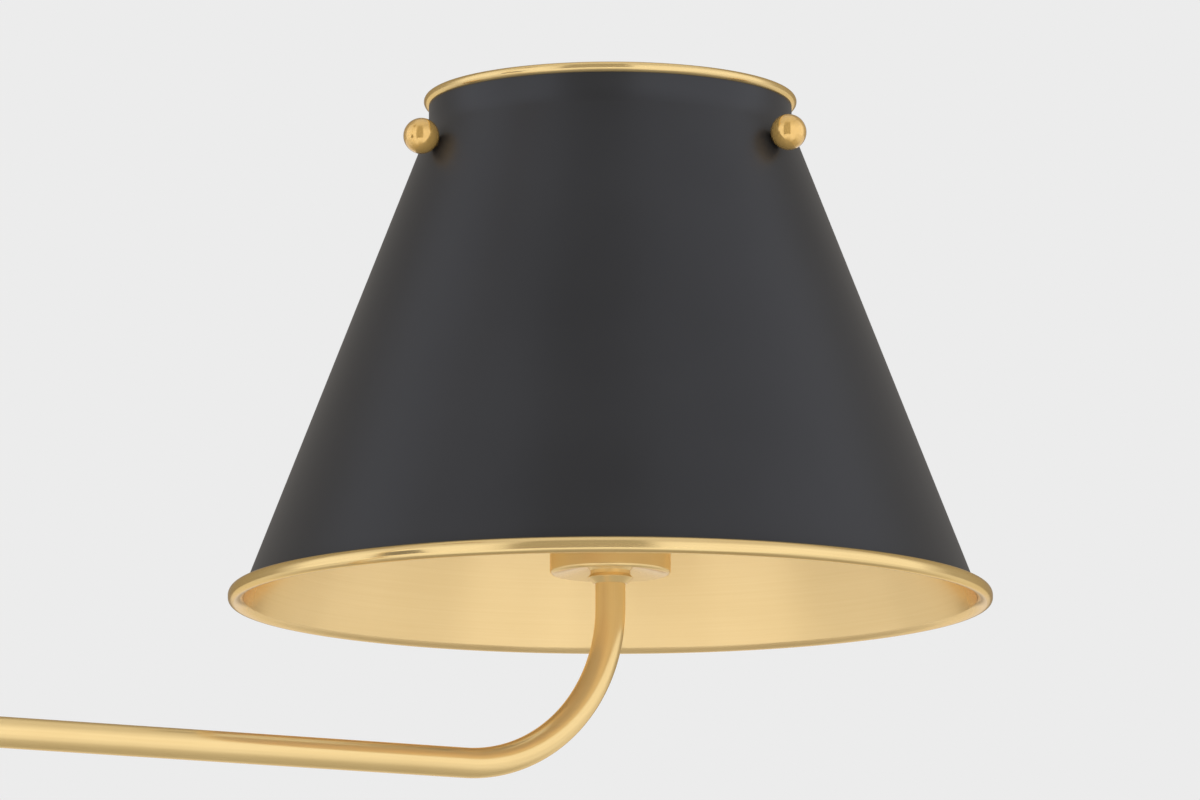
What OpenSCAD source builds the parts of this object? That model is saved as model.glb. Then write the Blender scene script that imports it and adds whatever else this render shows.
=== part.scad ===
// Linear chandelier: two brass-lined cone shades on bent tube arms, hung from a ceiling canopy by a
// jointed stem. Millimetres, +Z up, +X along the arms. The origin is on the ceiling plane, at the
// middle of the outlet box. The left side is the right side turned half round the stem.

/* [Shade] */
// Diameter over the rolled bead at the bottom of the shade
shade_bottom_d = 304.8; // [280:0.1:330]
// Diameter over the bead at the top of the shade
shade_top_d = 150; // [130:1:165]
// Height from the middle of the bottom bead to the middle of the top bead
shade_h = 201; // [185:1:230]
// Height of the straight neck below the top bead
neck_h = 11; // [9:0.5:14]
// Radius of the bend between the cone and the neck
neck_bend_r = 20; // [8:1:30]
// Thickness of the painted shell
shell_sheet = 0.6; // [0.5:0.1:0.9]
// Thickness of the brass lining
lining_sheet = 0.4; // [0.3:0.1:0.6]
// Diameter of the rolled bead at the bottom
bottom_bead_d = 6.4; // [5.6:0.2:8]
// Diameter of the bead at the top
top_bead_d = 4; // [3.6:0.2:5]
// How far the shade is turned about its own axis from square with the arm
shade_turn = -3; // [-30:1:30]

/* [Ball screws] */
// Diameter of the ball heads on the shade, the canopy and the hub
ball_d = 14.4; // [12:0.2:16]
// Diameter of the flat that a ball head seats on
ball_flat_d = 5.9; // [5.5:0.1:8]
// Diameter of the ball screws and the canopy studs
screw_d = 4.2; // [3.5:0.1:5]
// Distance of the ball screws below the middle of the top bead
screw_drop = 23.5; // [21:0.5:30]
// Diameter of the tapped bosses on the spider
boss_d = 9; // [8:0.5:11]
// Length of the tapped bosses on the spider
boss_len = 8; // [6:0.5:10]

/* [Tubes] */
// Outside diameter of the stem and arm tubes
tube_d = 12; // [11.5:0.1:13]
// Wall of the tubes
tube_wall = 1.2; // [1:0.1:1.4]
// Length of each of the two stem tubes
stem_len = 305; // [250:5:460]
// Distance of each shade's axis from the stem's axis
arm_reach = 420; // [380:5:520]
// Radius of the arm's bend, to the middle of the tube
bend_r = 66; // [50:1:80]
// Length of straight tube between the bend and the collar
riser = 9.5; // [5:0.5:30]
// Diameter of the wires inside the tubes
wire_d = 4.6; // [4:0.1:5]
// How far the wires lie off the middle of the arm
wire_sag = 1.2; // [0.6:0.1:1.3]

/* [Collars] */
// Diameter of the collar's flare and of its ring
collar_d = 18.5; // [17:0.1:21]
// Diameter of the groove between the flare and the ring
groove_d = 15.9; // [15:0.1:17]
// Diameter of the collar's thin end
collar_tail_d = 13; // [12.8:0.1:14]
// Height of the collar
collar_h = 7; // [6:0.1:9]
// Height of the ring above the thin end
ring_rise = 2.4; // [1.8:0.1:3]
// Height of the groove above the thin end
groove_rise = 3.9; // [3.4:0.1:4.4]
// Width of the groove's floor
groove_w = 1.4; // [0.6:0.1:1.6]
// How far a tube's end stops short of the collar's flat end
tube_stop = 1.5; // [1:0.1:2]
// Length of the coupling between the two stem tubes
coupling_len = 16; // [14:1:24]

/* [Socket cup] */
// Outside diameter of the cup
cup_d = 48.4; // [47:0.1:56]
// Height of the cup
cup_h = 16; // [12:1:22]
// Thickness of the cup
cup_sheet = 1.2; // [0.8:0.1:1.4]
// Rounding of the cup's lower edge
cup_edge_r = 1.5; // [1.4:0.1:2.4]
// How far the cup's floor is dished up at the collar
cup_dish = 3.1; // [2:0.1:4.5]
// Height of the cup's lower edge above the middle of the shade's bottom bead
cup_lift = 9.3; // [2:0.1:16]

/* [Socket and bulb] */
// Outside diameter of the threaded nipples
nipple_d = 9.6; // [9.4:0.1:9.6]
// Bore of the threaded nipples
nipple_bore = 7.4; // [7.2:0.1:7.8]
// How far the cup's nipple reaches down into the tube
nipple_grip = 10; // [8:0.5:14]
// How far the cup's nipple reaches up into the socket
nipple_reach = 6; // [4:0.5:8]
// Size across the flats of the nuts on the nipples
nut_flats = 15; // [14:0.5:17]
// Thickness of the nuts on the nipples
nut_h = 4; // [3:0.5:5]
// Diameter of the socket below its shoulder
socket_d = 38; // [37:0.5:40]
// Diameter of the threaded end of the socket
socket_thread_d = 40; // [39:0.5:42]
// Diameter of the socket's shoulder
shoulder_d = 45; // [44:0.5:46]
// Thickness of the socket's shoulder
shoulder_t = 3; // [2:0.5:4]
// Height of the shoulder's seat above the bottom of the socket
shoulder_rise = 26; // [22:1:30]
// Height of the socket's inner floor above the bottom of the socket
socket_floor = 12; // [10:0.5:14]
// Depth of the socket from its mouth to its inner floor
socket_depth = 27; // [26:0.5:32]
// Diameter of the socket's hollow
socket_bore = 28.2; // [28:0.1:29]
// Thickness of the screw shell in the socket
screw_shell_t = 0.7; // [0.4:0.1:0.7]
// How far the screw shell starts above the socket's inner floor
screw_shell_lift = 2; // [1.5:0.5:4]
// How far the screw shell stops below the socket's mouth
screw_shell_inset = 3; // [1:0.5:5]
// Diameter of the centre contact
contact_d = 10; // [7:0.5:12]
// Thickness of the centre contact
contact_t = 1.2; // [0.8:0.1:1.6]
// Diameter of the bulb's screw base
bulb_base_d = 26.2; // [25.8:0.1:26.2]
// Diameter of the bulb
bulb_d = 60; // [45:1:64]
// Height of the widest part of the bulb above the mouth of the socket
bulb_rise = 50; // [44:1:56]
// Wall of the bulb
glass_t = 0.8; // [0.6:0.1:1.2]
// Width of the spider's ring
ring_w = 10; // [9.5:0.5:12]
// Thickness of the spider's ring
ring_t = 2.5; // [2:0.5:4]
// Width of the ring nut over the spider's ring
ring_nut_w = 4; // [3:0.5:4.5]
// Height of the ring nut over the spider's ring
ring_nut_h = 5.5; // [4:0.5:8]
// Diameter of the spider's legs
leg_d = 4.4; // [4:0.1:5]

/* [Hub] */
// Diameter of the hub ball
hub_d = 38; // [34:1:46]
// Wall of the hub ball
hub_wall = 3; // [2.5:0.5:4]
// Diameter of the hole under the hub, closed by the finial
hub_hole_d = 14; // [12:0.5:16]
// Length of the finial's plug inside the hub
plug_len = 4; // [3:0.5:5]
// Diameter of the splice that joins the wires in the hub
splice_d = 11; // [10:0.5:13]
// Height of the splice that joins the wires in the hub
splice_h = 11; // [9:0.5:13]

/* [Swivel] */
// Diameter of the yoke
yoke_d = 24; // [23:0.5:28]
// Thickness of the yoke's roof
yoke_roof = 3.5; // [2.5:0.5:5]
// How far the yoke's ears reach below the pivot
ear_drop = 8; // [7:0.5:10]
// How far the stem can lean each way
lean_max = 45; // [25:1:45]
// Diameter of the pivot pins
pivot_d = 4; // [3:0.1:4.5]
// Diameter of the knuckle's eye
eye_d = 15; // [14:0.5:17]
// Width of the knuckle's eye
eye_w = 14; // [13:0.5:15]
// Diameter of the knuckle's neck
knuckle_neck_d = 10; // [9.6:0.1:12]
// Diameter of the flange that carries the yoke
flange_d = 14.8; // [13.5:0.1:15.5]
// Thickness of the flange that carries the yoke
flange_t = 2.5; // [2:0.5:4]

/* [Canopy] */
// Diameter of the canopy
canopy_d = 127; // [120:1:150]
// Height of the canopy
canopy_h = 24; // [20:1:32]
// Thickness of the canopy
canopy_sheet = 1.2; // [0.8:0.1:1.6]
// Rounding of the canopy's lower edge
canopy_edge_r = 8; // [4:0.5:12]
// Distance between the two canopy studs
stud_spacing = 50; // [46:1:56]
// Length of the crossbar
crossbar_len = 104; // [100:1:112]
// Width of the crossbar
crossbar_w = 22; // [20:1:26]
// Thickness of the crossbar
crossbar_t = 2.5; // [2:0.5:3]
// Distance between the middles of the outlet box slots
box_slot_spacing = 79.4; // [78:0.1:80]
// Length of each outlet box slot
box_slot_len = 14.3; // [10:0.1:15]
// Width of each outlet box slot
box_slot_w = 4.8; // [4:0.1:5.5]
// Diameter of the ground screw
ground_screw_d = 4; // [3.5:0.1:4.2]

/* [Fits] */
// Clearance around a pin or screw that turns in its hole
pin_gap = 0.05; // [0.02:0.01:0.1]
// Clearance around a screw or nipple that passes through a sheet
hole_gap = 0.3; // [0.2:0.05:0.5]
// Clearance between faces that turn or swing past each other
turn_gap = 0.3; // [0.2:0.05:0.6]
// Clearance between the knuckle's collar and the yoke at full lean
swing_gap = 1.8; // [1:0.1:4]
// How deep a sheet runs into the bead that is rolled from it
curl_lap = 0.1; // [0.05:0.05:0.2]

/* [Hidden] */
$fn = 96;
arc_steps = 6;
bulb_steps = 16;
hex_sides = 6;
hex_corner = 1 / cos(180 / hex_sides);
cut = 1;
far = 1000;
screw_angles = [180, 300, 60];
screw_count = len(screw_angles);

BRASS = "#d6b57c";
BRUSHED = "#e3c48c";
BLACK = "#333335";
STEEL = "#b4b6b8";
PHENOLIC = "#2b2622";
GLASS = "#f1efe8";
WIRE = "#d9cfae";
GREEN = "#3f7d4a";

tube_r = tube_d / 2;
tube_bore = tube_d - 2 * tube_wall;
ball_r = ball_d / 2;
collar_r = collar_d / 2;
nut_corner_d = nut_flats * hex_corner;
nipple_hole_d = nipple_d + 2 * hole_gap;

// Levels from the ceiling down to the arms
yoke_top = -canopy_h - turn_gap;
flange_top = yoke_top - yoke_roof - turn_gap;
flange_bottom = flange_top - flange_t;
pivot_z = flange_bottom - turn_gap - eye_d / 2;
yoke_bottom = pivot_z - ear_drop;
slot_w = eye_w + 2 * turn_gap;
ear_reach = sqrt(pow(yoke_d / 2, 2) - pow(slot_w / 2, 2));
knuckle_drop = ear_reach * sin(lean_max) + ear_drop * cos(lean_max) + swing_gap;
knuckle_collar_top = pivot_z - knuckle_drop;
stem_top = knuckle_collar_top - tube_stop;
stem_joint = stem_top - stem_len;
stem_bottom = stem_joint - stem_len;
hub_r = hub_d / 2;
hub_inner_r = hub_r - hub_wall;
arm_z = stem_bottom - hub_inner_r;
ferrule_start = sqrt(pow(hub_r, 2) - pow(collar_r, 2));
ferrule_len = hub_r - ferrule_start + collar_h;

// Levels above the cup's seat, which is the flat top of the arm's collar
seat_z = arm_z + bend_r + riser + collar_h;
cup_low = -cup_dish;
cup_top = cup_low + cup_h;
cup_floor = cup_sheet;
socket_bottom = cup_floor + nut_h;
socket_mouth = socket_bottom + socket_floor + socket_depth;
socket_floor_z = socket_bottom + socket_floor;
shoulder_z = socket_bottom + shoulder_rise;
contact_top = socket_floor_z + contact_t;
bulb_tip = contact_top + turn_gap;
bulb_neck = socket_mouth + turn_gap;
rim_z = cup_low - cup_lift;

// The shade's wall, measured from the middle of its bottom bead
bead_r = bottom_bead_d / 2;
bead_ring_r = shade_bottom_d / 2 - bead_r;
top_bead_r = top_bead_d / 2;
neck_r = shade_top_d / 2 - top_bead_r;
wall_t = shell_sheet + lining_sheet;
wall_inset = bead_r - curl_lap - wall_t;
neck_base = shade_h - neck_h;
wall_run = bead_ring_r - neck_r;
cone_angle = atan(wall_run / neck_base) - asin(wall_inset / norm([wall_run, neck_base]));
neck_tangent = neck_bend_r * tan(cone_angle / 2);

// The ball screws stand square on the cone
screw_foot_z = shade_h - screw_drop;
screw_foot_r = neck_r + (neck_base - screw_foot_z) * tan(cone_angle);
ball_flat = sqrt(pow(ball_r, 2) - pow(ball_flat_d / 2, 2));
ball_seat = turn_gap;
boss_start = -wall_t - turn_gap;
boss_end = boss_start - boss_len;
leg_foot_r = socket_thread_d / 2 + hole_gap + ring_w - leg_d / 2 - turn_gap;
leg_foot_z = shoulder_z + ring_t / 2 - rim_z;

// The bulb's straight neck leans out until it touches the ball
bulb_r = bulb_d / 2;
bulb_neck_r = bulb_base_d / 2 - glass_t / 2;
bulb_lean = asin(bulb_r / norm([bulb_rise, bulb_neck_r])) - atan(bulb_neck_r / bulb_rise);

// The ground screw sits midway between the lock nut and a canopy stud
ground_screw_x = -(nut_corner_d / 2 + stud_spacing / 2 - screw_d / 2) / 2;
ground_head_d = 1.5 * ground_screw_d;
ground_head_h = 0.6 * ground_screw_d;
stud_end = -canopy_h - ball_r;

sides = ["right", "left"];
ceiling_nodes = [
    "crossbar", "canopy_studs", "canopy", "ground_screw", "swivel_nipple", "swivel_locknut",
    "right_canopy_nut", "left_canopy_nut", "swivel_yoke", "swivel_pins"
];
stem_nodes = [
    "swivel_knuckle", "stem_upper", "stem_coupling", "stem_lower", "stem_wires", "stem_ferrule",
    "hub_ball", "hub_finial", "hub_splice"
];
side_nodes = [
    "arm", "arm_ferrule", "arm_collar", "arm_wires", "cup_nipple", "cup_nut", "socket_cup",
    "socket_body", "socket_shell", "socket_contact", "socket_ring_nut", "spider", "shade_shell",
    "shade_lining", "shade_top_bead", "bulb_base", "bulb_glass"
];
screw_nodes = [for (i = [1:screw_count]) str("ball_screw_", i)];

// Points on an arc in the profile plane
function arc(x, z, r, from, to, steps = arc_steps) =
    [for (i = [0:steps]) let (a = from + (to - from) * i / steps) [x + r * cos(a), z + r * sin(a)]];

function reversed(points) = [for (i = [len(points) - 1:-1:0]) points[i]];

// The shade's wall line at a depth below its outer face, from the bottom bead up to the top bead
function wall_line(depth) = concat(
    [[
        bead_ring_r - (wall_inset + depth) * cos(cone_angle),
        -(wall_inset + depth) * sin(cone_angle)
    ]],
    arc(neck_r + neck_bend_r, neck_base + neck_tangent, neck_bend_r + depth, 180 + cone_angle, 180),
    [[neck_r - depth, shade_h]]
);

function wall_band(outer, inner) = concat(wall_line(outer), reversed(wall_line(inner)));

// The bulb's line at a depth below its outer face: a straight neck that runs into a ball
function bulb_line(depth) = concat(
    [[(bulb_r - depth) / cos(bulb_lean) - bulb_rise * tan(bulb_lean), 0]],
    arc(0, bulb_rise, bulb_r - depth, -bulb_lean, 90, bulb_steps)
);

// Half section of the turned collar, thin end down, with a bore for the tube
function collar_points(bore_r, length) = [
    [bore_r, 0],
    [collar_tail_d / 2, 0],
    [collar_r, ring_rise],
    [groove_d / 2, groove_rise],
    [groove_d / 2, groove_rise + groove_w],
    [collar_r, collar_h],
    [collar_r, length],
    [bore_r, length]
];

module turned(points) {
    rotate_extrude() polygon(points);
}

module ring(outer_d, inner_d, height) {
    linear_extrude(height) difference() {
        circle(d = outer_d);
        circle(d = inner_d);
    }
}

module on_side(side) {
    rotate([0, 0, side == "left" ? 180 : 0]) children();
}

module at_seat() {
    translate([arm_reach, 0, seat_z]) children();
}

module at_rim() {
    at_seat() translate([0, 0, rim_z]) rotate([0, 0, shade_turn]) children();
}

// Puts +Z along a ball screw's axis, with 0 on the cone's outer face
module at_screw(index) {
    rotate([0, 0, screw_angles[index]])
        translate([screw_foot_r, 0, screw_foot_z])
            rotate([0, 90 - cone_angle, 0]) children();
}

module hex_nut(height) {
    difference() {
        cylinder(h = height, d = nut_corner_d, $fn = hex_sides);
        translate([0, 0, -cut]) cylinder(h = height + 2 * cut, d = nipple_d);
    }
}

// A ball cut flat where it seats, with the flat at 0 and the ball above it
module ball_head() {
    intersection() {
        translate([0, 0, ball_flat]) sphere(r = ball_r);
        translate([-ball_d, -ball_d, 0]) cube(2 * ball_d);
    }
}

module crossbar() {
    color(STEEL) translate([0, 0, -crossbar_t]) linear_extrude(crossbar_t) difference() {
        intersection() {
            square([crossbar_len, crossbar_w], center = true);
            circle(d = crossbar_len);
        }
        circle(d = nipple_d);
        for (turn = [0, 180]) rotate(turn) {
            translate([stud_spacing / 2, 0]) circle(d = screw_d);
            translate([box_slot_spacing / 2, 0]) slot_outline();
        }
        translate([ground_screw_x, 0]) circle(d = ground_screw_d);
    }
}

module slot_outline() {
    reach = (box_slot_len - box_slot_w) / 2;
    square([2 * reach, box_slot_w], center = true);
    for (x = [-reach, reach]) translate([x, 0]) circle(d = box_slot_w);
}

module ground_screw() {
    color(GREEN) translate([ground_screw_x, 0, 0]) {
        translate([0, 0, -crossbar_t]) cylinder(h = crossbar_t, d = ground_screw_d);
        translate([0, 0, -crossbar_t - ground_head_h]) cylinder(h = ground_head_h, d = ground_head_d);
    }
}

module canopy_studs() {
    color(STEEL) for (x = [-stud_spacing / 2, stud_spacing / 2])
        translate([x, 0, stud_end]) cylinder(h = -stud_end, d = screw_d);
}

module canopy() {
    r = canopy_d / 2;
    e = canopy_edge_r;
    t = canopy_sheet;
    hole_r = nipple_hole_d / 2;
    color(BRASS) difference() {
        turned(concat(
            [[r, 0]],
            arc(r - e, e - canopy_h, e, 0, -90),
            [[hole_r, -canopy_h], [hole_r, t - canopy_h]],
            arc(r - e, e - canopy_h, e - t, -90, 0),
            [[r - t, 0]]
        ));
        for (x = [-stud_spacing / 2, stud_spacing / 2])
            translate([x, 0, -canopy_h - cut]) cylinder(h = canopy_h, d = screw_d + 2 * hole_gap);
    }
}

// A ball nut under the canopy, on the stud to the right or to the left
module canopy_nut(turn) {
    color(BRASS) rotate([0, 0, turn]) translate([stud_spacing / 2, 0, -canopy_h - turn_gap])
        rotate([180, 0, 0]) difference() {
            ball_head();
            translate([0, 0, -cut]) cylinder(h = ball_r + cut, d = screw_d + 2 * pin_gap);
        }
}

module swivel_nipple() {
    color(STEEL) difference() {
        union() {
            translate([0, 0, flange_top]) cylinder(h = -flange_top, d = nipple_d);
            translate([0, 0, flange_bottom]) cylinder(h = flange_t, d = flange_d);
        }
        translate([0, 0, flange_bottom - cut]) cylinder(h = cut - flange_bottom + cut, d = nipple_bore);
    }
}

module swivel_locknut() {
    color(STEEL) translate([0, 0, -crossbar_t - nut_h]) hex_nut(nut_h);
}

module swivel_yoke() {
    hollow_d = flange_d + 4 * turn_gap;
    ear_top = flange_bottom - turn_gap;
    color(BRASS) difference() {
        translate([0, 0, yoke_bottom]) cylinder(h = yoke_top - yoke_bottom, d = yoke_d);
        translate([0, 0, flange_top - cut]) cylinder(h = far, d = nipple_d + 2 * pin_gap);
        translate([0, 0, ear_top - cut]) cylinder(h = flange_top + turn_gap - ear_top + cut, d = hollow_d);
        translate([-slot_w / 2, -yoke_d, yoke_bottom - cut])
            cube([slot_w, 2 * yoke_d, ear_top - yoke_bottom + cut]);
        translate([-yoke_d, 0, pivot_z]) rotate([0, 90, 0]) cylinder(h = 2 * yoke_d, d = pivot_d);
    }
}

// Two short pins, one in each ear, that leave the wires' way through the middle free
module swivel_pins() {
    inner = nipple_bore / 2 + turn_gap;
    color(STEEL) for (turn = [0, 180]) rotate([0, 0, turn])
        translate([inner, 0, pivot_z]) rotate([0, 90, 0])
            cylinder(h = yoke_d / 2 - turn_gap - inner, d = pivot_d);
}

module swivel_knuckle() {
    collar_bottom = knuckle_collar_top - collar_h;
    color(BRASS) difference() {
        union() {
            translate([-eye_w / 2, 0, pivot_z]) rotate([0, 90, 0]) cylinder(h = eye_w, d = eye_d);
            translate([0, 0, knuckle_collar_top - cut])
                cylinder(h = knuckle_drop + cut, d = knuckle_neck_d);
            translate([0, 0, collar_bottom]) turned(collar_points(0, collar_h));
        }
        translate([0, 0, collar_bottom - cut]) cylinder(h = far, d = nipple_bore);
        translate([0, 0, collar_bottom - cut]) cylinder(h = stem_top - collar_bottom + cut, d = tube_d);
        translate([-eye_w, 0, pivot_z]) rotate([0, 90, 0])
            cylinder(h = 2 * eye_w, d = pivot_d + 2 * pin_gap);
    }
}

module stem_upper() {
    color(BRASS) translate([0, 0, stem_joint]) ring(tube_d, tube_bore, stem_len);
}

module stem_lower() {
    color(BRASS) translate([0, 0, stem_bottom]) ring(tube_d, tube_bore, stem_len);
}

module stem_coupling() {
    color(BRASS) translate([0, 0, stem_joint - coupling_len / 2]) turned([
        [tube_r, 0],
        [collar_tail_d / 2, 0],
        [collar_r, ring_rise],
        [groove_d / 2, groove_rise],
        [groove_d / 2, coupling_len - groove_rise],
        [collar_r, coupling_len - ring_rise],
        [collar_tail_d / 2, coupling_len],
        [tube_r, coupling_len]
    ]);
}

module stem_wires() {
    bottom = arm_z + splice_h / 2;
    color(WIRE) translate([0, 0, bottom]) cylinder(h = pivot_z - bottom, d = wire_d);
}

// A collar on a tube where it enters the hub, cut to the ball, with the tube's axis along +Z
module hub_collar() {
    color(BRASS) difference() {
        translate([0, 0, hub_r + collar_h]) mirror([0, 0, 1]) turned(collar_points(tube_r, ferrule_len));
        sphere(r = hub_r);
    }
}

module stem_ferrule() {
    translate([0, 0, arm_z]) hub_collar();
}

module hub_ball() {
    color(BRASS) translate([0, 0, arm_z]) difference() {
        sphere(r = hub_r);
        sphere(r = hub_inner_r);
        cylinder(h = hub_d, d = tube_d);
        rotate([180, 0, 0]) cylinder(h = hub_d, d = hub_hole_d);
        rotate([0, 90, 0]) translate([0, 0, -hub_d]) cylinder(h = 2 * hub_d, d = tube_d);
    }
}

// Plug, collar and ball, turned in one piece
module hub_finial() {
    collar_end = hub_r + collar_h;
    color(BRASS) translate([0, 0, arm_z]) rotate([180, 0, 0]) {
        difference() {
            translate([0, 0, collar_end]) mirror([0, 0, 1]) turned(collar_points(0, ferrule_len));
            sphere(r = hub_r);
        }
        translate([0, 0, hub_r - plug_len]) cylinder(h = plug_len + collar_h / 2, d = hub_hole_d);
        translate([0, 0, collar_end + ball_r / 2]) sphere(r = ball_r);
    }
}

module hub_splice() {
    color(WIRE) translate([0, 0, arm_z - splice_h / 2]) cylinder(h = splice_h, d = splice_d);
}

// Sweeps a 2D section along the arm's middle line: out, round the bend, and up
module along_arm(start, top, sag) {
    turn_x = arm_reach - bend_r;
    turn_z = arm_z + bend_r;
    translate([start, 0, arm_z - sag]) rotate([0, 90, 0]) linear_extrude(turn_x - start) children();
    translate([turn_x, 0, turn_z]) rotate([90, 0, 0]) rotate_extrude(angle = 90, start = 270)
        translate([bend_r + sag, 0]) children();
    translate([arm_reach + sag, 0, turn_z]) linear_extrude(top - turn_z) children();
}

module arm() {
    color(BRASS) along_arm(hub_inner_r, seat_z - tube_stop, 0) difference() {
        circle(d = tube_d);
        circle(d = tube_bore);
    }
}

module arm_wires() {
    color(WIRE) along_arm(splice_d / 2, seat_z + socket_bottom + nipple_reach, wire_sag) circle(d = wire_d);
}

module arm_ferrule() {
    translate([0, 0, arm_z]) rotate([0, 90, 0]) hub_collar();
}

module arm_collar() {
    color(BRASS) at_seat() translate([0, 0, -collar_h]) difference() {
        turned(collar_points(nipple_d / 2, collar_h));
        translate([0, 0, -cut]) cylinder(h = collar_h - tube_stop + cut, d = tube_d);
    }
}

module cup_nipple() {
    color(STEEL) at_seat() translate([0, 0, -nipple_grip])
        ring(nipple_d, nipple_bore, nipple_grip + socket_bottom + nipple_reach);
}

module cup_nut() {
    color(STEEL) at_seat() translate([0, 0, cup_floor]) hex_nut(nut_h);
}

module socket_cup() {
    r = cup_d / 2;
    e = cup_edge_r;
    t = cup_sheet;
    hole_r = nipple_hole_d / 2;
    color(BRASS) at_seat() turned(concat(
        [[r, cup_top]],
        arc(r - e, cup_low + e, e, 0, -90),
        [[collar_r, 0], [hole_r, 0], [hole_r, t], [collar_r, t]],
        arc(r - e, cup_low + e, e - t, -90, 0),
        [[r - t, cup_top]]
    ));
}

module socket_body() {
    bore_r = nipple_d / 2;
    bore_top = socket_bottom + nipple_reach + turn_gap;
    color(PHENOLIC) at_seat() turned([
        [bore_r, socket_bottom],
        [socket_d / 2, socket_bottom],
        [socket_d / 2, shoulder_z - shoulder_t],
        [shoulder_d / 2, shoulder_z - shoulder_t],
        [shoulder_d / 2, shoulder_z],
        [socket_thread_d / 2, shoulder_z],
        [socket_thread_d / 2, socket_mouth],
        [socket_bore / 2, socket_mouth],
        [socket_bore / 2, socket_floor_z],
        [0, socket_floor_z],
        [0, bore_top],
        [bore_r, bore_top]
    ]);
}

module socket_shell() {
    bottom = socket_floor_z + screw_shell_lift;
    color(BRASS) at_seat() translate([0, 0, bottom])
        ring(socket_bore, socket_bore - 2 * screw_shell_t, socket_mouth - screw_shell_inset - bottom);
}

module socket_contact() {
    color(BRASS) at_seat() translate([0, 0, socket_floor_z]) cylinder(h = contact_t, d = contact_d);
}

module socket_ring_nut() {
    color(BRASS) at_seat() translate([0, 0, shoulder_z + ring_t])
        ring(socket_thread_d + 2 * ring_nut_w, socket_thread_d, ring_nut_h);
}

// A ring on the socket's shoulder with three legs that rise to tapped bosses inside the shade
module spider() {
    ring_bore = socket_thread_d + 2 * hole_gap;
    boss_mid = (boss_start + boss_end) / 2;
    leg_head_r = screw_foot_r + boss_mid * cos(cone_angle);
    leg_head_z = screw_foot_z + boss_mid * sin(cone_angle);
    leg_rise = leg_head_z - leg_foot_z;
    leg_out = leg_head_r - leg_foot_r;
    color(STEEL) at_rim() difference() {
        union() {
            translate([0, 0, leg_foot_z - ring_t / 2]) ring(ring_bore + 2 * ring_w, ring_bore, ring_t);
            for (i = [0:screw_count - 1]) {
                at_screw(i) translate([0, 0, boss_end]) cylinder(h = boss_len, d = boss_d);
                rotate([0, 0, screw_angles[i]]) translate([leg_foot_r, 0, leg_foot_z])
                    rotate([0, atan(leg_out / leg_rise), 0])
                        cylinder(h = norm([leg_out, leg_rise]), d = leg_d);
            }
        }
        for (i = [0:screw_count - 1])
            at_screw(i) translate([0, 0, boss_end - cut])
                cylinder(h = boss_len + 2 * cut, d = screw_d + 2 * pin_gap);
    }
}

module screw_holes() {
    for (i = [0:screw_count - 1])
        at_screw(i) translate([0, 0, boss_start]) cylinder(h = ball_d, d = screw_d + 2 * hole_gap);
}

// The shell's lower edge rests on the bead that is rolled from the lining
module shade_shell() {
    color(BLACK) at_rim() difference() {
        rotate_extrude() difference() {
            polygon(wall_band(0, shell_sheet));
            translate([bead_ring_r, 0]) circle(r = bead_r);
        }
        screw_holes();
    }
}

module shade_lining() {
    color(BRUSHED) at_rim() difference() {
        rotate_extrude() {
            polygon(wall_band(shell_sheet, wall_t));
            translate([bead_ring_r, 0]) circle(r = bead_r);
        }
        screw_holes();
    }
}

// A ring with a groove that sits over the top edges of the shell and the lining
module shade_top_bead() {
    color(BRASS) at_rim() rotate_extrude() difference() {
        translate([neck_r, shade_h]) circle(r = top_bead_r);
        translate([neck_r - wall_t, shade_h - top_bead_d]) square([wall_t, top_bead_d]);
    }
}

module ball_screw(index) {
    color(BRASS) at_rim() at_screw(index) {
        translate([0, 0, ball_seat]) ball_head();
        translate([0, 0, boss_end]) cylinder(h = ball_seat + ball_r - boss_end, d = screw_d);
    }
}

module bulb_base() {
    r = bulb_base_d / 2;
    tip_r = contact_d / 2;
    skirt = bulb_tip + tip_r;
    color(STEEL) at_seat() turned([
        [0, bulb_tip],
        [tip_r / 2, bulb_tip],
        [tip_r, bulb_tip + tip_r / 2],
        [r - tip_r / 2, skirt],
        [r, skirt + tip_r / 2],
        [r, bulb_neck],
        [0, bulb_neck]
    ]);
}

module bulb_glass() {
    color(GLASS) at_seat() translate([0, 0, bulb_neck])
        turned(concat(bulb_line(0), reversed(bulb_line(glass_t))));
}

crossbar();
canopy_studs();
canopy();
ground_screw();
swivel_nipple();
swivel_locknut();
canopy_nut(0);  // right_canopy_nut
canopy_nut(180);  // left_canopy_nut
swivel_yoke();
swivel_pins();
swivel_knuckle();
stem_upper();
stem_coupling();
stem_lower();
stem_wires();
stem_ferrule();
hub_ball();
hub_finial();
hub_splice();
for (side = sides) on_side(side) {
    arm();
    arm_ferrule();
    arm_collar();
    arm_wires();
    cup_nipple();
    cup_nut();
    socket_cup();
    socket_body();
    socket_shell();
    socket_contact();
    socket_ring_nut();
    spider();
    shade_shell();
    shade_lining();
    shade_top_bead();
    bulb_base();
    bulb_glass();
    for (i = [0:screw_count - 1])
        ball_screw(i);
}
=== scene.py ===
"""Looks of a linear chandelier: smooth brass and painted pieces on its CAD frame, and a studio."""

import math

import bmesh
import bpy
from bpy.props import FloatProperty, FloatVectorProperty, PointerProperty
from mathutils import Matrix, Vector


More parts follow.
